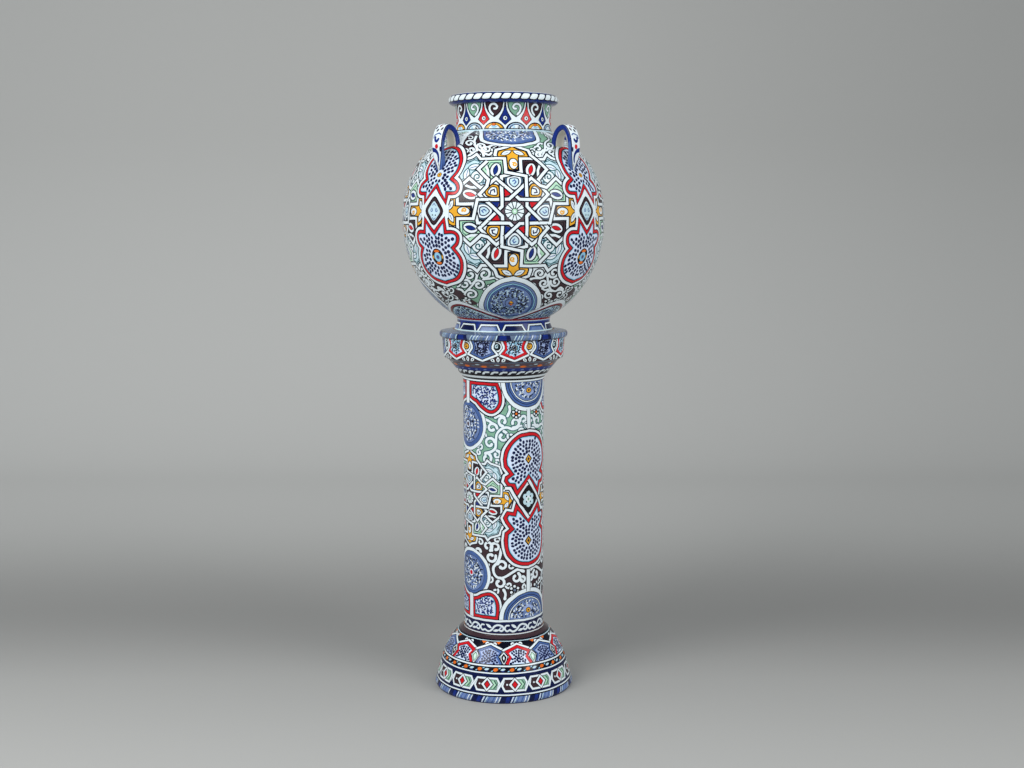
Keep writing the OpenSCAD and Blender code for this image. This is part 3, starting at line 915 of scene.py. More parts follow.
def roundels(art):
    # blue roundel under the neck and the larger one over the foot, on the star's axis
    pen = Pen(art)
    half = np.array([(28, 170), (54, 179), (64, 187), (65, 198), (63, 216), (64, 246)], float)
    top = np.vstack([half[::-1] * [-1, 1], [(0, 166)], half])
    foot = np.array([0, 250])
    inner, core = ((top - foot) * size + foot for size in ([0.89, 0.92], [0.80, 0.83]))
    pen.line(top, 12, "ink")
    pen.fill([*top, (62, 250), (-62, 250)], "white")
    pen.line(top, 8.0, "white")
    pen.fill((np.array([*inner, (54, 256), (-54, 256)]) - foot) * 1.04 + foot, "ink")
    pen.fill([*inner, (54, 250), (-54, 250)], "blue")
    region = [*core, (47, 250), (-47, 250)]
    pen.fill(region, "lavender")
    dashField(pen, region, 7.0, 2)
    y0 = -231

    def bulb(s):
        return loopOf(smooth([(0, y0 + 66 * s), (26 * s, y0 + 57 * s), (50 * s, y0 + 34 * s), (60 * s, y0),
                              (54 * s, y0 - 30 * s), (34 * s, y0 - 54 * s), (0, y0 - 64 * s)], steps=4))
    for s, pigment in ((1.23, "ink"), (1.20, "white"), (1.03, "ink"), (1.0, "lavender"), (0.93, "ink"),
                       (0.91, "sky"), (0.87, "ink"), (0.85, "blue"), (0.80, "ink"), (0.78, "lavender")):
        pen.fill(bulb(s), pigment)
    dashField(pen, bulb(0.77), 6.2, 5, skip=[(0, y0, 17)], inks=("pale", "ink", "ink"))
    pen.oval(0, y0, 14, 16, "ink", sides=12)
    pen.oval(0, y0, 12.6, 14.6, "lavender", sides=12)
    pen.fill([(0, y0 + 10), (7, y0), (0, y0 - 10), (-7, y0)], "umber")
    pen.fill([(-1, y0 + 8), (5, y0 + 1), (1, y0 - 1), (-4, y0 + 2)], "ochre")
    pen.fill([(1, y0 - 8), (-5, y0 - 2), (-1, y0 - 3), (4, y0 - 4)], "orange")


def footArches(art):
    # dotted arch below each medallion, running down to the foot
    pen = Pen(art, azimuth=jar["medallion"])
    arch = smooth([(-92, -312), (-70, -286), (-46, -262), (-22, -246), (0, -241), (22, -246), (46, -262),
                   (70, -286), (92, -312)], steps=4)
    base = [(92, -330), (-92, -330)]
    pen.line(arch + [0, 7.5], 15, "white")
    pen.line(arch + [0, 15.2], 1.8, "ink")
    pen.fill(np.vstack([arch, base]), "soot")
    pen.line(arch, 5.6, "garnet")
    inner = np.vstack([arch * [0.93, 1] - [0, 6], base])
    pen.fill(inner, "pale")
    dashField(pen, np.vstack([arch * [0.86, 1] - [0, 7], [(80, -322), (-80, -322)]]), 5.8, 11,
              inks=("ink", "lavender", "ink"))


def paintingOn(outline, bottom, top, level, **look):
    # a painting on the outside of a turned piece, between two heights
    return Painting(outline, outline.outerAt(level), (outline.outerAt(bottom), outline.outerAt(top)), **look)


def paintingOf(node, look, bottom=None, top=None):
    lo, hi = (corner.z * 1000 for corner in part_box(node))
    return paintingOn(Outline(*outlineOf(node)), bottom or lo, top or hi, **look)


def paintJar():
    outline = Outline(joinBody(outlineOf("jar_bowl"), outlineOf("jar_dome")), True)
    bottom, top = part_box("jar_bowl")[0].z * 1000 + 0.01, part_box("jar_dome")[1].z * 1000
    art = paintingOn(outline, bottom, top, **jar["look"])
    scrollCorners(art)
    starCells(art)
    starRosette(art)
    starStraps(art)
    roundels(art)
    footArches(art)
    medallion(art)
    wrap("jarBody", art, "vase", ["jar_bowl", "jar_dome"])


# neck, lip and foot ring of the jar

neck = {"level": 1360.7, "repeat": 360 / 7, "turn": 2.1, "plain": "cream", "gap": 4, "plainGap": 12}


def paintNeck():
    art = paintingOf("jar_neck", neck)
    art.bands((0, 5, "pale"))
    half = neck["repeat"] / 2
    for side, outer, leaf, edge in ((1, "blue", "green", "pine"), (-1, "ochre", "umber", "soot")):
        pen = Pen(art, azimuth=side * half / 2, gap=3)
        mound = smooth([(-23, 4.5), (-19, 11), (-11, 16.5), (0, 18.5), (11, 16.5), (19, 11),
                        (23, 4.5)], steps=3)
        pen.cell(mound, outer)
        pen.cell(mound * [0.62, 0.66] + [0, 1.5], "white", edgeWidth=1.3)
        if side > 0:
            pen.line(mound * [0.8, 0.82] + [0, 0.9], 1.6, "pale")
            pen.line(spiral(-5, 8.4, 3.6, 90, 1.0), 1.7, "sky")
            pen.line(spiral(6, 8.0, 3.4, 90, -1.0), 1.7, "ink")
        else:
            pen.oval(-1, 14.2, 4.6, 3.4, "orange", "soot", 1.0, sides=12)
            pen.lens(0, 8.5, 8, 2.6, "sky")
        pen.cell(loopOf([(0, 32), (8, 37.5), (14, 44), (18.5, 53), (20.5, 66), (0, 66)]), leaf, edge)
        curl = smooth([(3, 37), (9, 44), (11, 53), (6, 60), (-2, 60.5), (-7, 55), (-5, 50.5),
                       (0, 50)]) * [side, 1]
        pen.stroke(curl, 7.6, edge)
        pen.stroke(curl, 4.6, "white")
    for azimuth, pigment in ((0, "cobalt"), (half, "red")):
        pen = Pen(art, azimuth=azimuth, gap=3)
        pen.fill(loopOf([(0, 12), (6.6, 17.8), (15.4, 26), (11, 34), (7.0, 41), (4.0, 48), (1.5, 66),
                         (0, 66)]), "ink")
        pen.fill(loopOf([(0, 14), (6, 19.5), (13, 26), (9.2, 33), (5.6, 40), (2.8, 47), (0, 56)]), pigment)
        pen.oval(0, 28.5, 5.2, 5.2, "white", "ink", 1.3, sides=14)
        pen.oval(0.6, 28.5, 2.0, 2.4, "ink", sides=8)
    wrap("jarNeck", art, "vase", ["jar_neck"])


lip = {"level": 1424.7, "repeat": 30, "turn": 3, "plain": "cream", "gap": 3.4, "plainGap": 9}


def paintLip():
    art = paintingOf("jar_lip", lip)
    art.bands((-2, 48, "cobalt"))
    rope = smooth([(-12.5, 17), (3.5, 16), (9.5, 21), (12.5, 30), (-2, 31.5), (-8.5, 26)], True, 3)
    for k in (-1, 0, 1):
        Pen(art, azimuth=10 * k, gap=3).cell(rope, "white", "ink", 2.4)
    art.bands((36, 56, "white"))
    wrap("jarLip", art, "vase", ["jar_lip"])


footRing = {"level": 891, "repeat": 60, "turn": 12.4, "plain": "clay", "gap": 4, "plainGap": 12}


def paintFoot():
    art = paintingOf("jar_foot_ring", footRing)
    art.bands((3, 25, "cobalt"))
    for azimuth, inside in ((0, "navy"), (30, "blue")):
        pen = Pen(art, azimuth=azimuth, gap=3)
        box = [(-28.5, 1), (-20, 17.5), (20, 17.5), (28.5, 1)]
        pen.fill(box, inside)
        pen.strap(box, 3.4, 2.0)
        if inside == "blue":
            pen.fill([(-19, 3), (-14, 11), (14, 11), (19, 3)], "lavender")
    art.bands((0, 3, "pale"), (25, 27, "lavender"), (28, 34, "garnet"))
    wrap("jarFoot", art, "vase", ["jar_foot_ring"])


# the strap handles

handle = {
    "bearings": {"handle_front_left": -42.5, "handle_front_right": 47.5, "handle_back_right": 137.5,
                 "handle_back_left": -132.5},
    "gap": 55, "inset": 22.5, "rise": 45.5, "reach": 5.5,    # of the loop off neck and belly, mm
    "width": 33, "thick": 14, "tail": 18, "root": 3,
    "neckRadius": 116.5, "bellyRadius": 244.2, "wallFrom": 120,    # the wall that the roots end in, by radius
}


def heightOn(dome, radius):
    # height of the dome's outside at a radius
    for v in np.arange(dome.outerAt(dome.points[:, 1].min()), dome.length, 0.5):
        if dome.at(v)[0] < radius:
            return float(dome.at(v)[1])


class Strap:
    # a handle's surface: azimuth runs round its section and v along it, root to root
    onAxis = True

    def __init__(self, bearing, dome):
        h, steps = handle, 16
        inR, outR, t = h["neckRadius"] + h["gap"], h["bellyRadius"] - h["inset"], h["thick"]
        upZ, lowZ = heightOn(dome, inR), heightOn(dome, outR)
        sink, crown, side = 0.7 * t, upZ + h["rise"] - t / 2, outR + h["reach"] - t / 2
        w, tall = side - inR, crown - lowZ
        a, b = np.array((inR, upZ - sink)), np.array((inR + 0.55 * w, crown))
        c, d = np.array((side, lowZ + 0.56 * tall)), np.array((outR - sink, lowZ - sink))
        # three curves from the neck side over the crown to the belly, pulled by shares of the loop
        # like the solid handle; the strap is a tenth wider at the neck and pinched at the belly
        legs = [(a, a + (-0.08 * w, 0.65 * h["rise"]), b - (0.32 * w, 0), b),
                (b, b + (0.24 * w, 0), c + (0, 0.21 * tall), c),
                (c, c - (0, 0.23 * tall), d + (0, 0.26 * tall), d)]
        path, wide = [], []
        for k, (p, q, r, s) in enumerate(legs):
            for t1 in np.linspace(0, 1, steps + 1)[:-1 if k < 2 else None]:
                u = 1 - t1
                path.append(u ** 3 * p + 3 * u * u * t1 * q + 3 * u * t1 * t1 * r + t1 ** 3 * s)
                run = k + t1
                wide.append(h["width"] * (1 + 0.1 * (1 - run) ** 2) if run < 1
                            else h["width"] - (h["width"] - h["tail"]) * ((run - 1) / 2) ** 3)
        self.path, self.wide = np.array(path), np.array(wide)
        self.along = np.r_[0, np.cumsum(np.hypot(*np.diff(self.path, axis=0).T))]
        self.length, self.crown = self.along[-1], self.along[steps]
        self.sharp = np.zeros(len(self.path), bool)
        self.sharp[0] = self.sharp[-1] = True
        slope = np.gradient(self.path, self.along, axis=0)
        self.slope = slope / np.hypot(*slope.T)[:, None]
        self.bearing = math.radians(bearing)
        # the section, a flat oval with full edges, by length round it
        a = np.linspace(-math.pi, math.pi, 241)
        x = np.sign(np.sin(a)) * abs(np.sin(a)) ** 0.4 * h["width"] / 2
        y = np.sign(np.cos(a)) * abs(np.cos(a)) ** 0.5 * t / 2
        girth = np.r_[0, np.cumsum(np.hypot(np.diff(x), np.diff(y)))]
        self.perimeter = girth[-1]
        self.turnOf, self.side, self.face = girth / girth[-1] * 2 * math.pi - math.pi, x, y
        v = np.arange(dome.outerAt(dome.points[:, 1].min()), dome.length, 1.0)
        v = v[dome.at(v)[0] > h["wallFrom"]]
        self.wall, self.outward = np.column_stack(dome.at(v)), dome.facing(v)

    def at(self, v):
        v = np.asarray(v, float)
        return np.full(v.shape, self.perimeter / (2 * math.pi)), np.zeros(v.shape)

    def place(self, az, v):
        az = (az + math.pi) % (2 * math.pi) - math.pi
        near = np.clip(np.minimum(v, self.length - v) / 1.5, 0, 1) ** 0.5
        x = np.interp(az, self.turnOf, self.side) * np.interp(v, self.along, self.wide)
        x = x / handle["width"] * near
        y = np.interp(az, self.turnOf, self.face) * near
        c = np.column_stack([np.interp(v, self.along, self.path[:, k]) for k in (0, 1)])
        d = np.column_stack([np.interp(v, self.along, self.slope[:, k]) for k in (0, 1)])
        r, z = c[:, 0] - d[:, 1] * y, c[:, 1] + d[:, 0] * y
        # roots end just inside the jar's wall
        away = np.hypot(np.hypot(r, x)[:, None] - self.wall[:, 0], z[:, None] - self.wall[:, 1])
        i = away.argmin(1)
        depth = ((np.column_stack([np.hypot(r, x), z]) - self.wall[i]) * self.outward[i]).sum(1)
        sunk = depth < -handle["root"]
        inner = self.wall[i] - handle["root"] * self.outward[i]
        r = np.where(sunk, np.sqrt(np.maximum(inner[:, 0] ** 2 - x * x, 1)), r)
        z = np.where(sunk, inner[:, 1], z)
        # turned to the handle's bearing on the jar
        s, q = math.sin(self.bearing), math.cos(self.bearing)
        return np.column_stack([r * s + x * q, -r * q + x * s, z]) / 1000

    def normal(self, az, v):
        v = np.clip(v, 0.2, self.length - 0.2)
        n = np.cross(self.place(az + 0.04, v) - self.place(az - 0.04, v),
                     self.place(az, v + 0.1) - self.place(az, v - 0.1))
        outward = self.place(az, v) - (self.place(az, v) + self.place(az + math.pi, v)) / 2
        n *= np.where((n * outward).sum(1) < 0, -1, 1)[:, None]
        return n / (np.linalg.norm(n, axis=1)[:, None] + 1e-12)


def paintHandles():
    dome = Outline(*outlineOf("jar_dome"))
    for node, bearing in handle["bearings"].items():
        strap = Strap(bearing, dome)
        art = Painting(strap, 0.0, (-1, strap.length + 1), gap=2.6)
        pen = Pen(art, gap=2.0)
        crown, end, back = strap.crown, strap.length + 2, strap.perimeter / 2
        edge = handle["width"] / 2 - 0.5
        for side in (-1, 1):
            pen.fill(np.array([(edge, -2), (edge, end), (back - 13, end),
                               (back - 13, -2)]) * [side, 1], "cobalt")
            pen.fill(np.array([(edge + 2.5, crown + 40), (edge + 2.5, end), (back - 15, end),
                               (back - 15, crown + 50)]) * [side, 1], "blue")
            pen.line(np.array([(edge, -2), (edge, end)]) * [side, 1], 2.6, "navy")
            pen.fill(np.array([(back - 13, -2), (back - 13, end), (back + 1, end),
                               (back + 1, -2)]) * [side, 1], "cream")
        # from the crown down: dabs, a comma, a hook, a red dot, a long crescent and a white drop
        pen = Pen(art, gap=2.0, flip=bearing > 0)
        for x, y, dab in ((-8, 2, "ink"), (5, -7, "ink"), (-9, 13, "umber"), (1, 8, "garnet"), (10, 3, "ink"),
                          (-3, 19, "soot"), (9, 16, "umber"), (-6, -22, "soot"), (6, -30, "garnet"),
                          (-4, -40, "ink")):
            pen.oval(x, crown + y, 4.4, 2.6, dab, tilt=-50, sides=8)
        pen.stroke(smooth([(11, crown + 29), (4, crown + 26), (-8, crown + 30), (-10, crown + 36)],
                          steps=3), 3.0, "blue")
        pen.stroke(smooth([(-5, crown + 35), (-4, crown + 41), (1, crown + 43), (6, crown + 39)], steps=3),
                   6.2, "cobalt")
        pen.oval(1, crown + 54, 5.4, 5.2, "red", sides=12)
        crescent = smooth([(-12, crown + 61), (-3, crown + 63), (4, crown + 70), (5, crown + 80),
                           (2, crown + 88)], steps=3)
        pen.stroke(crescent, np.linspace(10, 5, len(crescent)), "cobalt")
        pen.oval(13, crown + 60, 2.6, 6, "navy", sides=8)
        for side in (-1, 1):
            border = np.array([(17.5, crown + 56), (16, crown + 76), (12, crown + 94), (8, crown + 108),
                               (3, crown + 122)]) * [side, 1]
            pen.line(border, np.linspace(3, 13, 5), "navy")
            pen.line(border + [side * 1.6, 0], np.linspace(2, 11, 5), "blue")
        pen.stroke([(-9, crown + 84), (-6, crown + 95), (-1, crown + 104)], 2.2, "brown")
        pen.lens(3, crown + 95, 5, 1.6, "umber", tilt=80)
        name = "strap" + "".join(w.capitalize() for w in node.split("_")[1:])
        wrap(name, art, "vase", [node])


# the pedestal's pieces

plate = {"level": 873.1, "repeat": 40, "ground": "wash", "plain": "clay", "gap": 5, "plainGap": 16}
seatHeight = 891    # the painting ends where the jar's foot stands, mm


def paintPlate():
    art = paintingOf("cap_plate", plate, top=seatHeight)
    art.bands((0, 4, "ink"), (4, 19, "wash"))
    pen = Pen(art, gap=3)
    for x, wide, pigment in ((-48, 3.0, "blue"), (-41, 1.8, "mist"), (-35, 4.0, "lavender"),
                             (-27, 2.4, "blue"), (26, 1.8, "pale"), (30, 2.0, "blue"), (34, 1.8, "pale"),
                             (38, 2.0, "lavender"), (42, 1.8, "pale"), (48, 3.4, "lavender")):
        pen.stroke([(x - 2, 4), (x + 5, 18)], wide, pigment)
    pen.fill([(-17, 3), (-13, 18.6), (15, 18.6), (19, 3)], "navy")
    pen.fill([(-11, 5), (-8, 17), (6, 17), (8, 5)], "cobalt")
    pen.line([(-19, 4), (-15, 18)], 2.2, "pale")
    art.bands((0, 5.4, "ink"), (19, 20.5, "navy"))
    # painted reflections: pale lavender streaks across the plate's top face, where the glaze would catch the
    # light
    for x, y, a in ((-30, 28, 14), (4, 33, 18), (34, 27, 13), (-12, 42, 12), (22, 44, 10)):
        pen.lens(x, y, a, 2.2, "lavender", tilt=6)
    wrap("capPlate", art, "stand", ["cap_plate"])


drum = {"level": 830, "repeat": 60, "turn": 10.1, "plain": "clay", "gap": 5, "plainGap": 14}
drumFoot = 822.05    # its outside begins just over the cove, mm


def paintDrum():
    art = paintingOf("capital_drum", drum, bottom=drumFoot)
    pens = [(Pen(art, azimuth=a, up=-8, gap=3), red) for a, red in ((0, True), (30, False))]
    art.bands((-16, 60, "umber"))
    for pen, red in pens:
        for s in (0, 13, -13):    # three petals below the zigzag
            pen.lens(38 + s, 7 - abs(s) * 0.1, 7.6, 4.4, "white", "soot", tilt=90 - s * 3.4)
            pen.lens(38 + s, 7 - abs(s) * 0.1, 3.4, 1.5, "pine", tilt=90 - s * 3.4)
    for pen, red in pens:
        pen.fill([(-39, 24), (0, 7), (39, 24), (54, 36), (54, 58), (-39, 58)], "white")
    for pen, red in pens:
        pen.strap([(-34, 20.5), (0, 5)], 6.6)
        pen.strap([(0, 5), (44, 27), (51, 34), (48, 44)], 6.6)
        pen.fill([(-4, 7.2), (0, 1.8), (4, 7.2), (0, 8.6)], "white")
        pen.oval(37, 37, 12.5, 13, "white", "soot", sides=16)
        pen.oval(36, 38, 8, 8, "ochre" if red else "pine", "soot", sides=14)
        pen.stroke(spiral(36, 38, 5, 60, 0.9), 2.2, "umber" if red else "pale")
    for pen, red in pens:
        loop = np.array([(27, 58), (19.5, 40), (19.5, 31), (27, 21.5), (0, 10.5), (-27, 21.5), (-19.5, 31),
                         (-19.5, 40), (-27, 58)])
        pen.line(loop, 20.4, "ink")
        pen.line(loop, 17.6, "white")
        pen.fill(loop, "sky")
        pen.line(loop, 8.6, "soot")
        pen.line(loop, 5.6 if red else 4.2, "red" if red else "blue")
        inner = loop * [0.82, 0.87] + [0, 4.6]
        pen.fill(inner, "mist" if red else "haze")
        dashField(pen, inner, 4.2, 4, inks=("navy", "sky" if red else "navy", "ink"), skip=[(0, 36, 6)],
                  size=2.4, inset=2.0)
        if red:
            flower(pen, 0, 35, 4.6, "blue", "ink")
    art.bands((43, 60, "ink"))
    wrap("drum", art, "stand", ["capital_drum"])


cove = {"level": 774, "repeat": 360 / 17, "ground": "wash", "plain": "clay", "gap": 4, "plainGap": 12}


def paintCove():
    art = paintingOf("capital_cove", cove)
    art.bands((0, 4, "pale"), (4, 11.5, "soot"), (11.5, 18.5, "white"), (18.5, 24, "soot"), (24, 36, "ink"),
              (36, 46, "cobalt"), (46, 64, "brown"))
    for k in (-1, 0, 1):
        pen = Pen(art, azimuth=k * cove["repeat"] / 2, gap=3)
        rope = [(-11.5, 24.5), (-5, 25.5), (-1.5, 30), (8.5, 30), (9.5, 35), (-1, 35.5), (-7.5, 32)]
        pen.fill(rope, "white")
        pen.lens(0, 41, 5, 1.8, "lavender", tilt=14)
    pen = Pen(art, gap=3)
    pen.lens(0, 51, 9, 3.4, "orange")
    pen.lens(20, 54, 6, 1.8, "wash")
    pen.lens(-16, 57, 7, 1.6, "pale")
    wrap("cove", art, "stand", ["capital_cove"])


column = {
    "look": {
        "level": 489.0,    # height of the painting's middle line, mm
        "repeat": 180, "turn": -9.75, "plain": "clay", "gap": 7, "plainGap": 20, "wobble": 0.6,
    },
    "star": -47.3, "medallion": 47.3,    # degrees from the painting's centre line
    "starUp": -7.5, "starScale": (0.74, 0.71),
    "rim": 15, "band": 6.4,
}


def halfDisc(y, r, up):
    t = np.linspace(0, math.pi, 25)
    return np.column_stack([r * np.cos(t), y + up * r * np.sin(t)])


def columnMedallion(art):
    pen = Pen(art, azimuth=column["medallion"], gap=4)
    upper = loopOf(smooth([(62, 94), (57, 116), (44, 135), (25, 149), (0, 153.5)][::-1],
                          steps=4).tolist() + [(60, 78), (52, 67), (45, 58), (58, 50), (60, 42), (53, 33),
                                               (40, 31), (32, 10), (0, 48)])
    lower = loopOf([(0, -60), (33, -22), (38, -41), (54, -38), (61, -50), (57, -60), (44, -77), (58, -88)]
                   + smooth([(60, -105), (58, -124), (50, -144), (31, -161), (0, -168)], steps=4).tolist())
    for more, pigment in ((6, "ink"), (0, "white")):
        for loop in (upper, lower):
            pen.loop(loop, column["band"] + column["rim"] + more, pigment)
    pen.fill([(0, 48), (40, -4), (0, -60), (-40, -8)], "white")
    for loop, eye in ((upper, (0, 92, 12)), (lower, (0, -110, 12))):
        redField(pen, loop, 6.2)
        pen.dots(shrink(loop, 4), eye, 9.3, 7.9, "navy")
        pen.cell([(0, eye[1] + 11), (9, eye[1]), (0, eye[1] - 11), (-9, eye[1])], "ochre", "soot")
        pen.fill([(0, eye[1] + 5), (4, eye[1]), (0, eye[1] - 5), (-4, eye[1])], "umber")
    for turn in (0, 180):
        side = Pen(art, azimuth=column["medallion"], up=-6, turn=turn, gap=4)
        side.strap([(-62, 30), (-50, 30), (-36, 6), (0, -47)], 7)
    core = smooth([(0, 33), (13, 20), (26, -2), (14, -19), (0, -34), (-14, -19), (-26, -2),
                   (-13, 20)], True, 3)
    middle = Pen(art, azimuth=column["medallion"], up=-6, gap=3)
    middle.cell(core, "soot")
    middle.ovalRing(6, 0, 0, 10.5, 13, 6.4, 7.2, "pale", sides=12)
    middle.oval(0, 0, 7.5, 9, "white", sides=12)
    middle.ovalRing(4, 0, 0, 8.5, 9.5, 2.0, 2.4, "ink", start=45, sides=8)
    middle.oval(0, 0, 3, 4, "green", sides=8)


def columnRoundels(art):
    star, belly = column["star"], column["medallion"]
    for azimuth, y, rx, ry, eye in ((star - 3, 174, 52, 55, "brown"), (star + 3.6, -194, 51, 54, "red")):
        pen = Pen(art, azimuth=azimuth, gap=4)
        for s, pigment in ((1.19, "ink"), (1.165, "white"), (1.02, "ink"), (1.0, "blue"), (0.84, "ink"),
                           (0.82, "lavender"), (0.66, "ink"), (0.63, "lavender")):
            pen.oval(0, y, rx * s, ry * s, pigment, sides=40)
        dashField(pen, ovalLoop(0, y, rx * 0.8, ry * 0.8, sides=30), 7.2, 5, skip=[(0, y, 12)],
                  inks=("ink", "white", "ink"))
        pen.oval(0, y, 10, 10, "mist", "ink", sides=16)
        pen.oval(0, y, 5.4, 5.4, eye, sides=12)
    for azimuth, loop in ((star - 3, [(12, 276), (12, 242), (34, 233), (52, 218), (70, 209), (85, 213),
                                      (95, 228), (96, 244), (94, 260), (88, 276)]),
                          (star + 3.6, [(10, -299), (10, -257), (24, -253), (42, -243), (58, -241),
                                        (71, -249), (77, -265), (77, -285), (75, -299)])):
        for flip in (False, True):
            pen = Pen(art, azimuth=azimuth, flip=flip, gap=4)
            curve = np.vstack([loop[:2], smooth(loop[2:-1], steps=3), loop[-1:]])
            pen.loop(curve, column["band"] + 20, "ink")
            pen.loop(curve, column["band"] + 14, "white")
            redField(pen, curve, 5.6)
            dashField(pen, shrink(curve, 4), 6.2, 7, inks=("navy", "cobalt"), size=3.0)
    for y, r, up in ((281, 63, -1), (-304, 67, 1)):
        pen = Pen(art, azimuth=belly, gap=4)
        for inset, pigment in ((-10.5, "ink"), (-8.8, "white"), (0.4, "ink"), (2.4, "blue"), (7.4, "ink"),
                               (9.0, "blue"), (12.4, "ink"), (13.8, "white"), (16, "ink"),
                               (17.6, "lavender")):
            pen.fill(halfDisc(y, r - inset, up), pigment)
        dashField(pen, halfDisc(y, r - 19, up), 6.6, 8, skip=[(0, y + up * 22, 13)],
                  inks=("ink", "white", "ink"))
        pen.fill([(-17, y + up * 27), (0, y + up * 8), (17, y + up * 27), (0, y + up * 36)], "haze")
        pen.oval(0, y + up * 21, 7.4, 6.4, "ochre", "ink", 2.0, sides=12)
        pen.oval(0, y + up * 21, 3, 2.6, "umber", sides=8)
    for azimuth, low, high in ((star - 3, 226, 282), (star + 3.6, -305, -246), (belly, 158, 214),
                               (belly, -236, -170)):
        Pen(art, azimuth=azimuth).strap([(0, low), (0, high)], 10 if azimuth == belly else 13, edgeWidth=1.6)


def columnScrolls(art):
    art.bands((0, 290, "green"), (-312, 0, "umber"))
    for azimuth, flip in ((0, False), (90, True)):
        pen = Pen(art, azimuth=azimuth, flip=flip, gap=3)
        pen.scroll([[(56, 174), (36, 168), (20, 172), (6, 168), (-4, 156), (-6, 138), (-8, 122), (-20, 112),
                     (-34, 108)], (10, 150, 13, 80, -1.15), (-16, 170, 12, 0, 1.15),
                    (-22, 134, 13.5, 10, 1.2), (-30, 96, 13, 70, -1.15), (10, 187, 12, 270, -1.15),
                    (40, 183, 12.5, 250, 1.15), (-4, 106, 10, 90, -1.1), (62, 190, 10, 200, -1.1),
                    [(-34, 190), (-24, 186), (-14, 180)], [(22, 200), (27, 212), (26, 222)],
                    [(14, 196), (4, 200), (-8, 196)]], "teal", 7.6, 2.2, shift=5)
        for x, y, r, a, n in ((-6, 212, 9, 60, 1), (-18, 202, 8, 200, -1), (30, 150, 9, 150, 1),
                              (28, 132, 8, 40, -1), (-40, 150, 9, 0, 1), (-38, 172, 8, 90, -1),
                              (-48, 124, 8, 200, 1), (-2, 86, 8, 120, -1), (56, 160, 8, 60, 1),
                              (70, 176, 8, 0, -1), (-52, 108, 7, 90, 1), (10, 232, 8, 160, 1),
                              (-26, 220, 8, 20, -1), (64, 222, 8, 100, 1)):
            pen.scroll([(x + 5, y, r, a, 1.15 * n)], "teal", 5.8, 2.0)
        flower(pen, 48, 205, 8.6, "orange", "ink")
        pen.scroll([
            [(6, -126), (2, -145), (-4, -158), (-14, -172), (-12, -188), (0, -198), (18, -194), (34, -184),
                    (48, -178), (62, -184)],
            (-28, -120, 12.5, 300, 1.15), (-8, -122, 12.5, 220, -1.15), (-20, -147, 13, 20, -1.2),
            (8, -167, 12.5, 160, -1.15), (2, -211, 13.5, 90, -1.2), (43, -198, 12, 60, -1.1),
            (60, -205, 8, 90, -1.0), (-56, -136, 8.5, 0, 1.0), [(12, -228), (16, -238), (15, -250)]],
            "soot", 7.6, 2.0, shift=5)
        for x, y, r, a, n in ((24, -146, 8, 60, 1), (-34, -166, 9, 0, -1), (-40, -186, 8, 120, 1),
                              (-22, -204, 8, 60, -1), (24, -216, 8, 200, 1), (-8, -232, 8, 40, -1),
                              (66, -224, 7, 100, 1), (30, -168, 8, 20, -1), (-58, -156, 8, 90, 1),
                              (-4, -104, 8, 0, 1), (-48, -112, 8, 120, -1), (36, -246, 7, 60, 1)):
            pen.scroll([(x + 5, y, r, a, 1.15 * n)], "soot", 5.4, 1.8)
        flower(pen, 44, -229, 9.6, "wash", "soot")


def paintColumn():
    art = paintingOf("column_shaft", column["look"])
    columnScrolls(art)
    where = {"azimuth": column["star"], "up": column["starUp"], "scale": column["starScale"]}
    starCells(art, **where)
    starRosette(art, **where)
    starStraps(art, **where)
    columnRoundels(art)
    columnMedallion(art)
    art.bands((281, 287, "white"), (280, 281.4, "ink"), (-304, -303, "ink"), (-309, -304, "white"),
              (-340, -309, "navy"))
    for k in range(5):
        pen = Pen(art, azimuth=-72 + 36 * k, up=-324, gap=3)
        pen.stroke(smooth([(-31, -5), (-22, -9), (-12, -4), (-6, 4), (2, 8), (12, 5), (16, -2), (11, -7),
                           (5, -4)]), 4.4, "white")
        pen.stroke(smooth([(31, -5), (24, -8), (19, -2), (22, 5), (29, 6)]), 3.8, "white")
        pen.lens(-20, 4, 9, 3.4, "white", tilt=-32)
        pen.lens(-2, -6, 8, 3, "white", tilt=12)
        pen.lens(8, 0.5, 4, 1.8, "mist", tilt=40)
    wrap("shaft", art, "stand", ["column_shaft"])


base = {"level": 0.0, "repeat": 120, "plain": "clay", "gap": 5, "plainGap": 14, "wobble": 0.3}


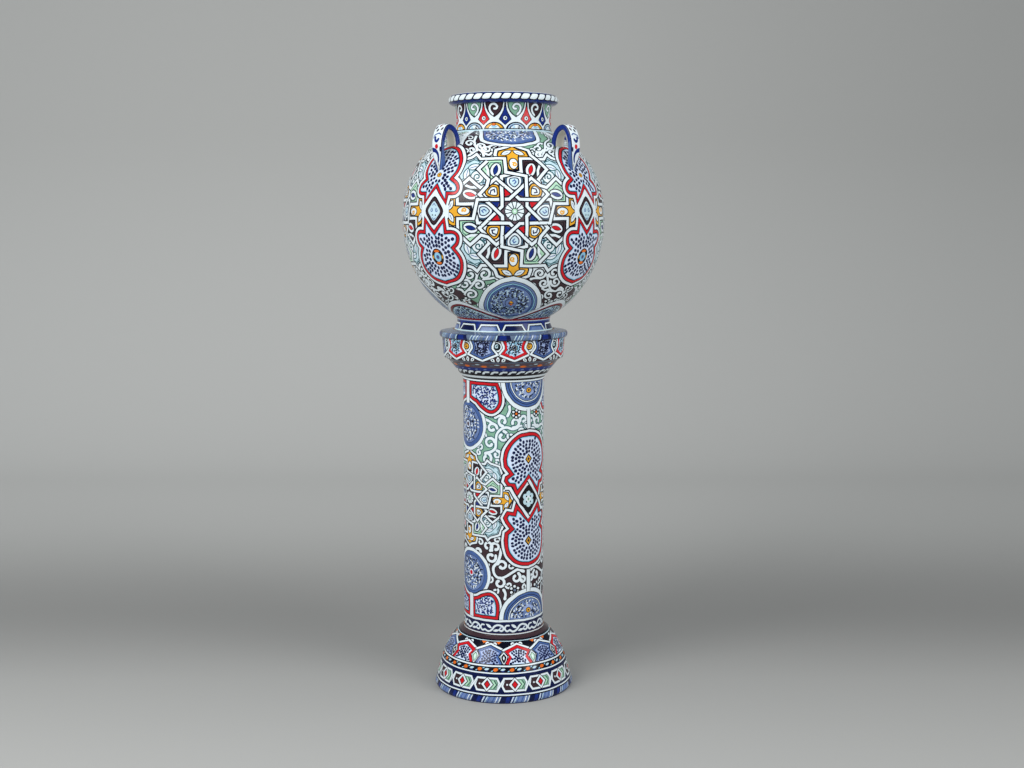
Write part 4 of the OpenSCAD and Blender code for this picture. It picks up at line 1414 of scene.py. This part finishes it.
def paintBase():
    art = paintingOf("base_bell", base)
    art.bands((0, 18.5, "wash"))
    for k in range(5):
        pen = Pen(art, azimuth=24 * k - 48, gap=3)
        pen.fill([(-12, 0), (-5, 18.6), (21, 18.6), (14, 0)], "navy")
        pen.fill([(2, 0), (8, 18.6), (17, 18.6), (11, 0)], "cobalt")
        pen.fill([(14, 0), (21, 18.6), (60, 18.6), (52, 0)], "lavender")
        for x, wide, pigment in ((-22, 2.0, "white"), (-17.5, 2.4, "lavender"), (-14, 1.8, "white"),
                                 (17, 2.0, "white"), (21, 2.2, "navy"), (24.5, 2.0, "pale"),
                                 (31, 2.4, "blue"), (42, 3.0, "blue")):
            pen.line([(x - 1, 0), (x + 7, 18.6)], wide, pigment)
    art.bands((0, 2.4, "navy"))
    art.bands((17.5, 20.5, "ink"), (20.5, 23.5, "white"), (23.5, 71, "navy"), (71, 74, "white"),
              (74, 88, "ink"), (88, 91.5, "white"), (91.5, 150, "ink"), (150, 153, "pale"),
              (153, 157.5, "ink"), (157.5, 171, "umber"), (171, 180, "white"))
    for k in range(5):
        pen = Pen(art, azimuth=24 * k - 38.5, up=46, gap=3)
        cell = [(-25, 14.5), (24, 14.5), (30, 4), (25, -14.5), (-25, -14.5), (-31, -3)]
        pen.fill(cell, "umber")
        pen.fill([(0, 14), (24, 14), (29, 4), (25, -14), (0, -14)], "green")
        pen.line([(13, 9), (20, 0), (13, -9)], 3.2, "leaf")
        pen.line([(17, 10), (24, 0), (17, -10)], 1.8, "pine")
        pen.oval(-19, 0.5, 2.4, 2.2, "white", sides=8)
        pen.loop(cell, 6.4, "ink")
        pen.loop(cell, 4.4, "white")
        pen.line([(-45, -16), (-25, 15)], 5.6, "ink")
        pen.line([(-45.5, -16.6), (-24.6, 15.4)], 4.4, "white")
        pen.fill([(0, 19), (17, 0), (0, -19), (-17, 0)], "soot")
        pen.fill([(0, 16.4), (14.6, 0), (0, -16.4), (-14.6, 0)], "white")
        pen.cell([(0, 9.4), (7.2, 0), (0, -9.4), (-7.2, 0)], "red", "soot", 2.0)
    for k in range(8):
        pen = Pen(art, azimuth=15 * k - 52.5, up=81, gap=3)
        pen.oval(0, 0, 5.8, 4.0, "orange", tilt=12, sides=12)
        pen.lens(18, 0.5, 6.4, 2.6, "pale", tilt=12)
        pen.lens(18, -4, 5, 1.5, "cobalt")
        pen.lens(9.5, 3.6, 3.4, 1.2, "sky", tilt=30)
        pen.lens(-8.5, -3.4, 3.4, 1.2, "sky", tilt=30)
    for k in range(4):
        red = k % 2 == 0
        pen = Pen(art, azimuth=30 * k - 15, gap=3)
        pen.cell([(-30, 151), (30, 151), (0, 131)], "umber" if red else "ink", "ink", 1.4)
        for side in (-1, 1):
            if red:
                pen.fill(np.array([(12, 150), (25, 150), (19, 143.5)]) * [side, 1], "orange")
            pen.stroke(smooth([(1 * side, 135), (4 * side, 142), (9 * side, 147), (13 * side, 144),
                               (10 * side, 141)]), 3.2, "white")
    shape = np.array([(-31, 94), (-19.5, 112.5), (-27, 124.5), (0, 137), (27, 124.5),
                      (19.5, 112.5), (31, 94)])
    for k in range(4):
        pen = Pen(art, azimuth=30 * k - 45, gap=3)
        pen.line(shape, 20.5, "ink")
        pen.line(shape, 17.4, "white")
    for k in range(4):
        red = k % 2 == 0
        pen = Pen(art, azimuth=30 * k - 45, gap=3)
        pen.fill(shape, "sky" if red else "blue")
        pen.line(shape, 8.8, "ink")
        pen.line(shape, 6.4 if red else 4.4, "red" if red else "blue")
        inner = (shape - [0, 94]) * ([0.84, 0.86] if red else [0.9, 0.9]) + [0, 94.5]
        pen.fill(inner, "mist" if red else "haze")
        pen.dots(inner, (0, 104, 0), 6.4, 6.0, "navy", seed=k, inset=2.0)
        eye = Pen(art, azimuth=30 * k - 30, gap=3)
        kite = loopOf([(0, 125), (9.5, 114), (7.6, 104), (2.6, 94.5), (0, 93)])
        eye.cell(kite, "white", "ink", 2.0)
        eye.cell(loopOf([(0, 119), (5.6, 112), (4.4, 104), (0, 97)]), "leaf" if red else "soot",
                 "pine" if red else "ink", 1.6)
        eye.lens(0, 109, 5, 1.8, "white", tilt=90)
    art.bands((88, 91.5, "white"), (91.5, 94, "ink"))
    wrap("bell", art, "stand", ["base_bell"])


paintJar()
paintNeck()
paintLip()
paintFoot()
paintHandles()
paintPlate()
paintDrum()
paintCove()
paintColumn()
paintBase()


# stage, light and camera

stage = {
    # painted shade on the backdrop paper, by distance behind the jar, height up the wall and distance to the
    # side: a band of painted shadow on the floor just behind the stand, and painted shade that darkens the
    # paper up the wall and towards the right, away from the key panel
    "floorShadowTones": [(-0.6, 0.41), (0, 0.345), (0.35, 0.26), (0.7, 0.24), (1.2, 0.355), (1.7, 0.44),
                   (2.3, 0.495), (3.0, 0.50)],
    "wallShadeTones": [(0, 1.0), (1.5, 0.965), (3.0, 0.88), (4.0, 0.75)],
    "sideShadeTones": [(-3.0, 1.0), (-0.7, 1.0), (0.3, 0.97), (1.0, 0.90), (1.8, 0.85), (2.6, 0.81), (4.0, 0.78)],
    "paperRoughness": 0.9, "paperSpecular": 0.1,
    "front": -4.5, "curveStart": 2.6, "curveRadius": 1.6, "top": 7, "halfWidth": 9,    # of the paper, m
    "lensWidth": 36.0, "lens": 47.46,
    "distance": 3.294, "height": 1.166, "tilt": 7.1355, "yaw": 0.36,
    # the room is dimmer as a reflection in the glaze, so dark lines stay dark
    "room": (0.93, 0.97, 1.0), "roomLight": 0.75, "roomReflected": 0.1,
    # place, width and height in m, and power in W
    "lamps": {"keyPanel": ((-2.6, -2.6, 3.2), (2.4, 2.4), 124),
              "fillPanel": ((2.9, -2.2, 2.4), (2.0, 2.6), 64)},
    "lampAim": (0, 0, 0.8),
}


def makeCamera():
    data = bpy.data.cameras.new("camera")
    data.lens, data.sensor_width = stage["lens"], stage["lensWidth"]
    cam = bpy.data.objects.new("camera", data)
    cam.location = (0, -stage["distance"], stage["height"])
    cam.rotation_euler = (math.radians(90 - stage["tilt"]), 0, math.radians(-stage["yaw"]))
    bpy.context.scene.collection.objects.link(cam)
    bpy.context.scene.camera = cam


def toneAlong(tree, value, stops):
    # a smooth run of greys along one direction
    first, last = stops[0][0], stops[-1][0]
    along = addNode(tree, "MapRange", Value=value, **{"From Min": first, "From Max": last})
    ramp = addNode(tree, "ValToRGB", Fac=along.outputs["Result"])
    marks = ramp.color_ramp.elements
    ramp.color_ramp.interpolation = "B_SPLINE"
    for at, tone in stops:
        spot = (at - first) / (last - first)
        stop = marks[0] if at == first else marks[-1] if at == last else marks.new(spot)
        stop.position, stop.color = spot, (tone, tone, tone * 0.99, 1)
    return ramp.outputs["Color"]


def makeBackdrop():
    mat = bpy.data.materials.new("backdropPaper")
    mat.use_nodes = True
    tree = mat.node_tree
    place = addNode(tree, "SeparateXYZ", addNode(tree, "TexCoord").outputs["Object"]).outputs
    # the painted shadow and shade: the three runs of grey are multiplied into the paper's colour
    tone, *others = (toneAlong(tree, place[axis], stage[key])
                     for axis, key in (("Y", "floorShadowTones"), ("Z", "wallShadeTones"), ("X", "sideShadeTones")))
    for other in others:
        tone = addNode(tree, "Mix", settings={"data_type": "RGBA", "blend_type": "MULTIPLY"},
                       Factor=1, A=tone, B=other).outputs["Result"]
    shader = tree.nodes["Principled BSDF"]
    tree.links.new(tone, shader.inputs["Base Color"])
    shader.inputs["Roughness"].default_value = stage["paperRoughness"]
    shader.inputs["Specular IOR Level"].default_value = stage["paperSpecular"]
    # flat on the floor, then round a curve and up
    start, radius = stage["curveStart"], stage["curveRadius"]
    bends = [math.radians(a) for a in range(5, 91, 5)]
    profile = [(stage["front"], 0), (start, 0),
               *((start + radius * math.sin(a), radius - radius * math.cos(a)) for a in bends),
               (start + radius, stage["top"])]
    verts = [(x, y, z) for x in (-stage["halfWidth"], stage["halfWidth"]) for y, z in profile]
    n = len(profile)
    faces = [(i, i + 1, n + i + 1, n + i) for i in range(n - 1)]
    mesh = bpy.data.meshes.new("backdrop")
    mesh.from_pydata(verts, [], faces)
    mesh.polygons.foreach_set("use_smooth", [True] * len(faces))
    mesh.materials.append(mat)
    floor = bpy.data.objects.new("backdrop", mesh)
    bpy.context.scene.collection.objects.link(floor)


def makeLights():
    world = bpy.data.worlds.new("room")
    world.use_nodes = True
    tree = world.node_tree
    room = tree.nodes["Background"].inputs
    room["Color"].default_value = (*stage["room"], 1)
    glossy = addNode(tree, "LightPath").outputs["Is Glossy Ray"]
    strength = addNode(tree, "MapRange", Value=glossy,
                       **{"To Min": stage["roomLight"], "To Max": stage["roomReflected"]})
    tree.links.new(strength.outputs["Result"], room["Strength"])
    bpy.context.scene.world = world
    for name, (place, size, power) in stage["lamps"].items():
        lamp = bpy.data.lights.new(name, "AREA")
        lamp.shape, lamp.size, lamp.size_y, lamp.energy = "RECTANGLE", *size, power
        obj = bpy.data.objects.new(name, lamp)
        obj.location = place
        obj.rotation_euler = (Vector(stage["lampAim"]) - Vector(place)).to_track_quat("-Z", "Y").to_euler()
        bpy.context.scene.collection.objects.link(obj)


makeCamera()
makeBackdrop()
makeLights()
bpy.context.scene.view_settings.view_transform = "Standard"
print("stage ready")
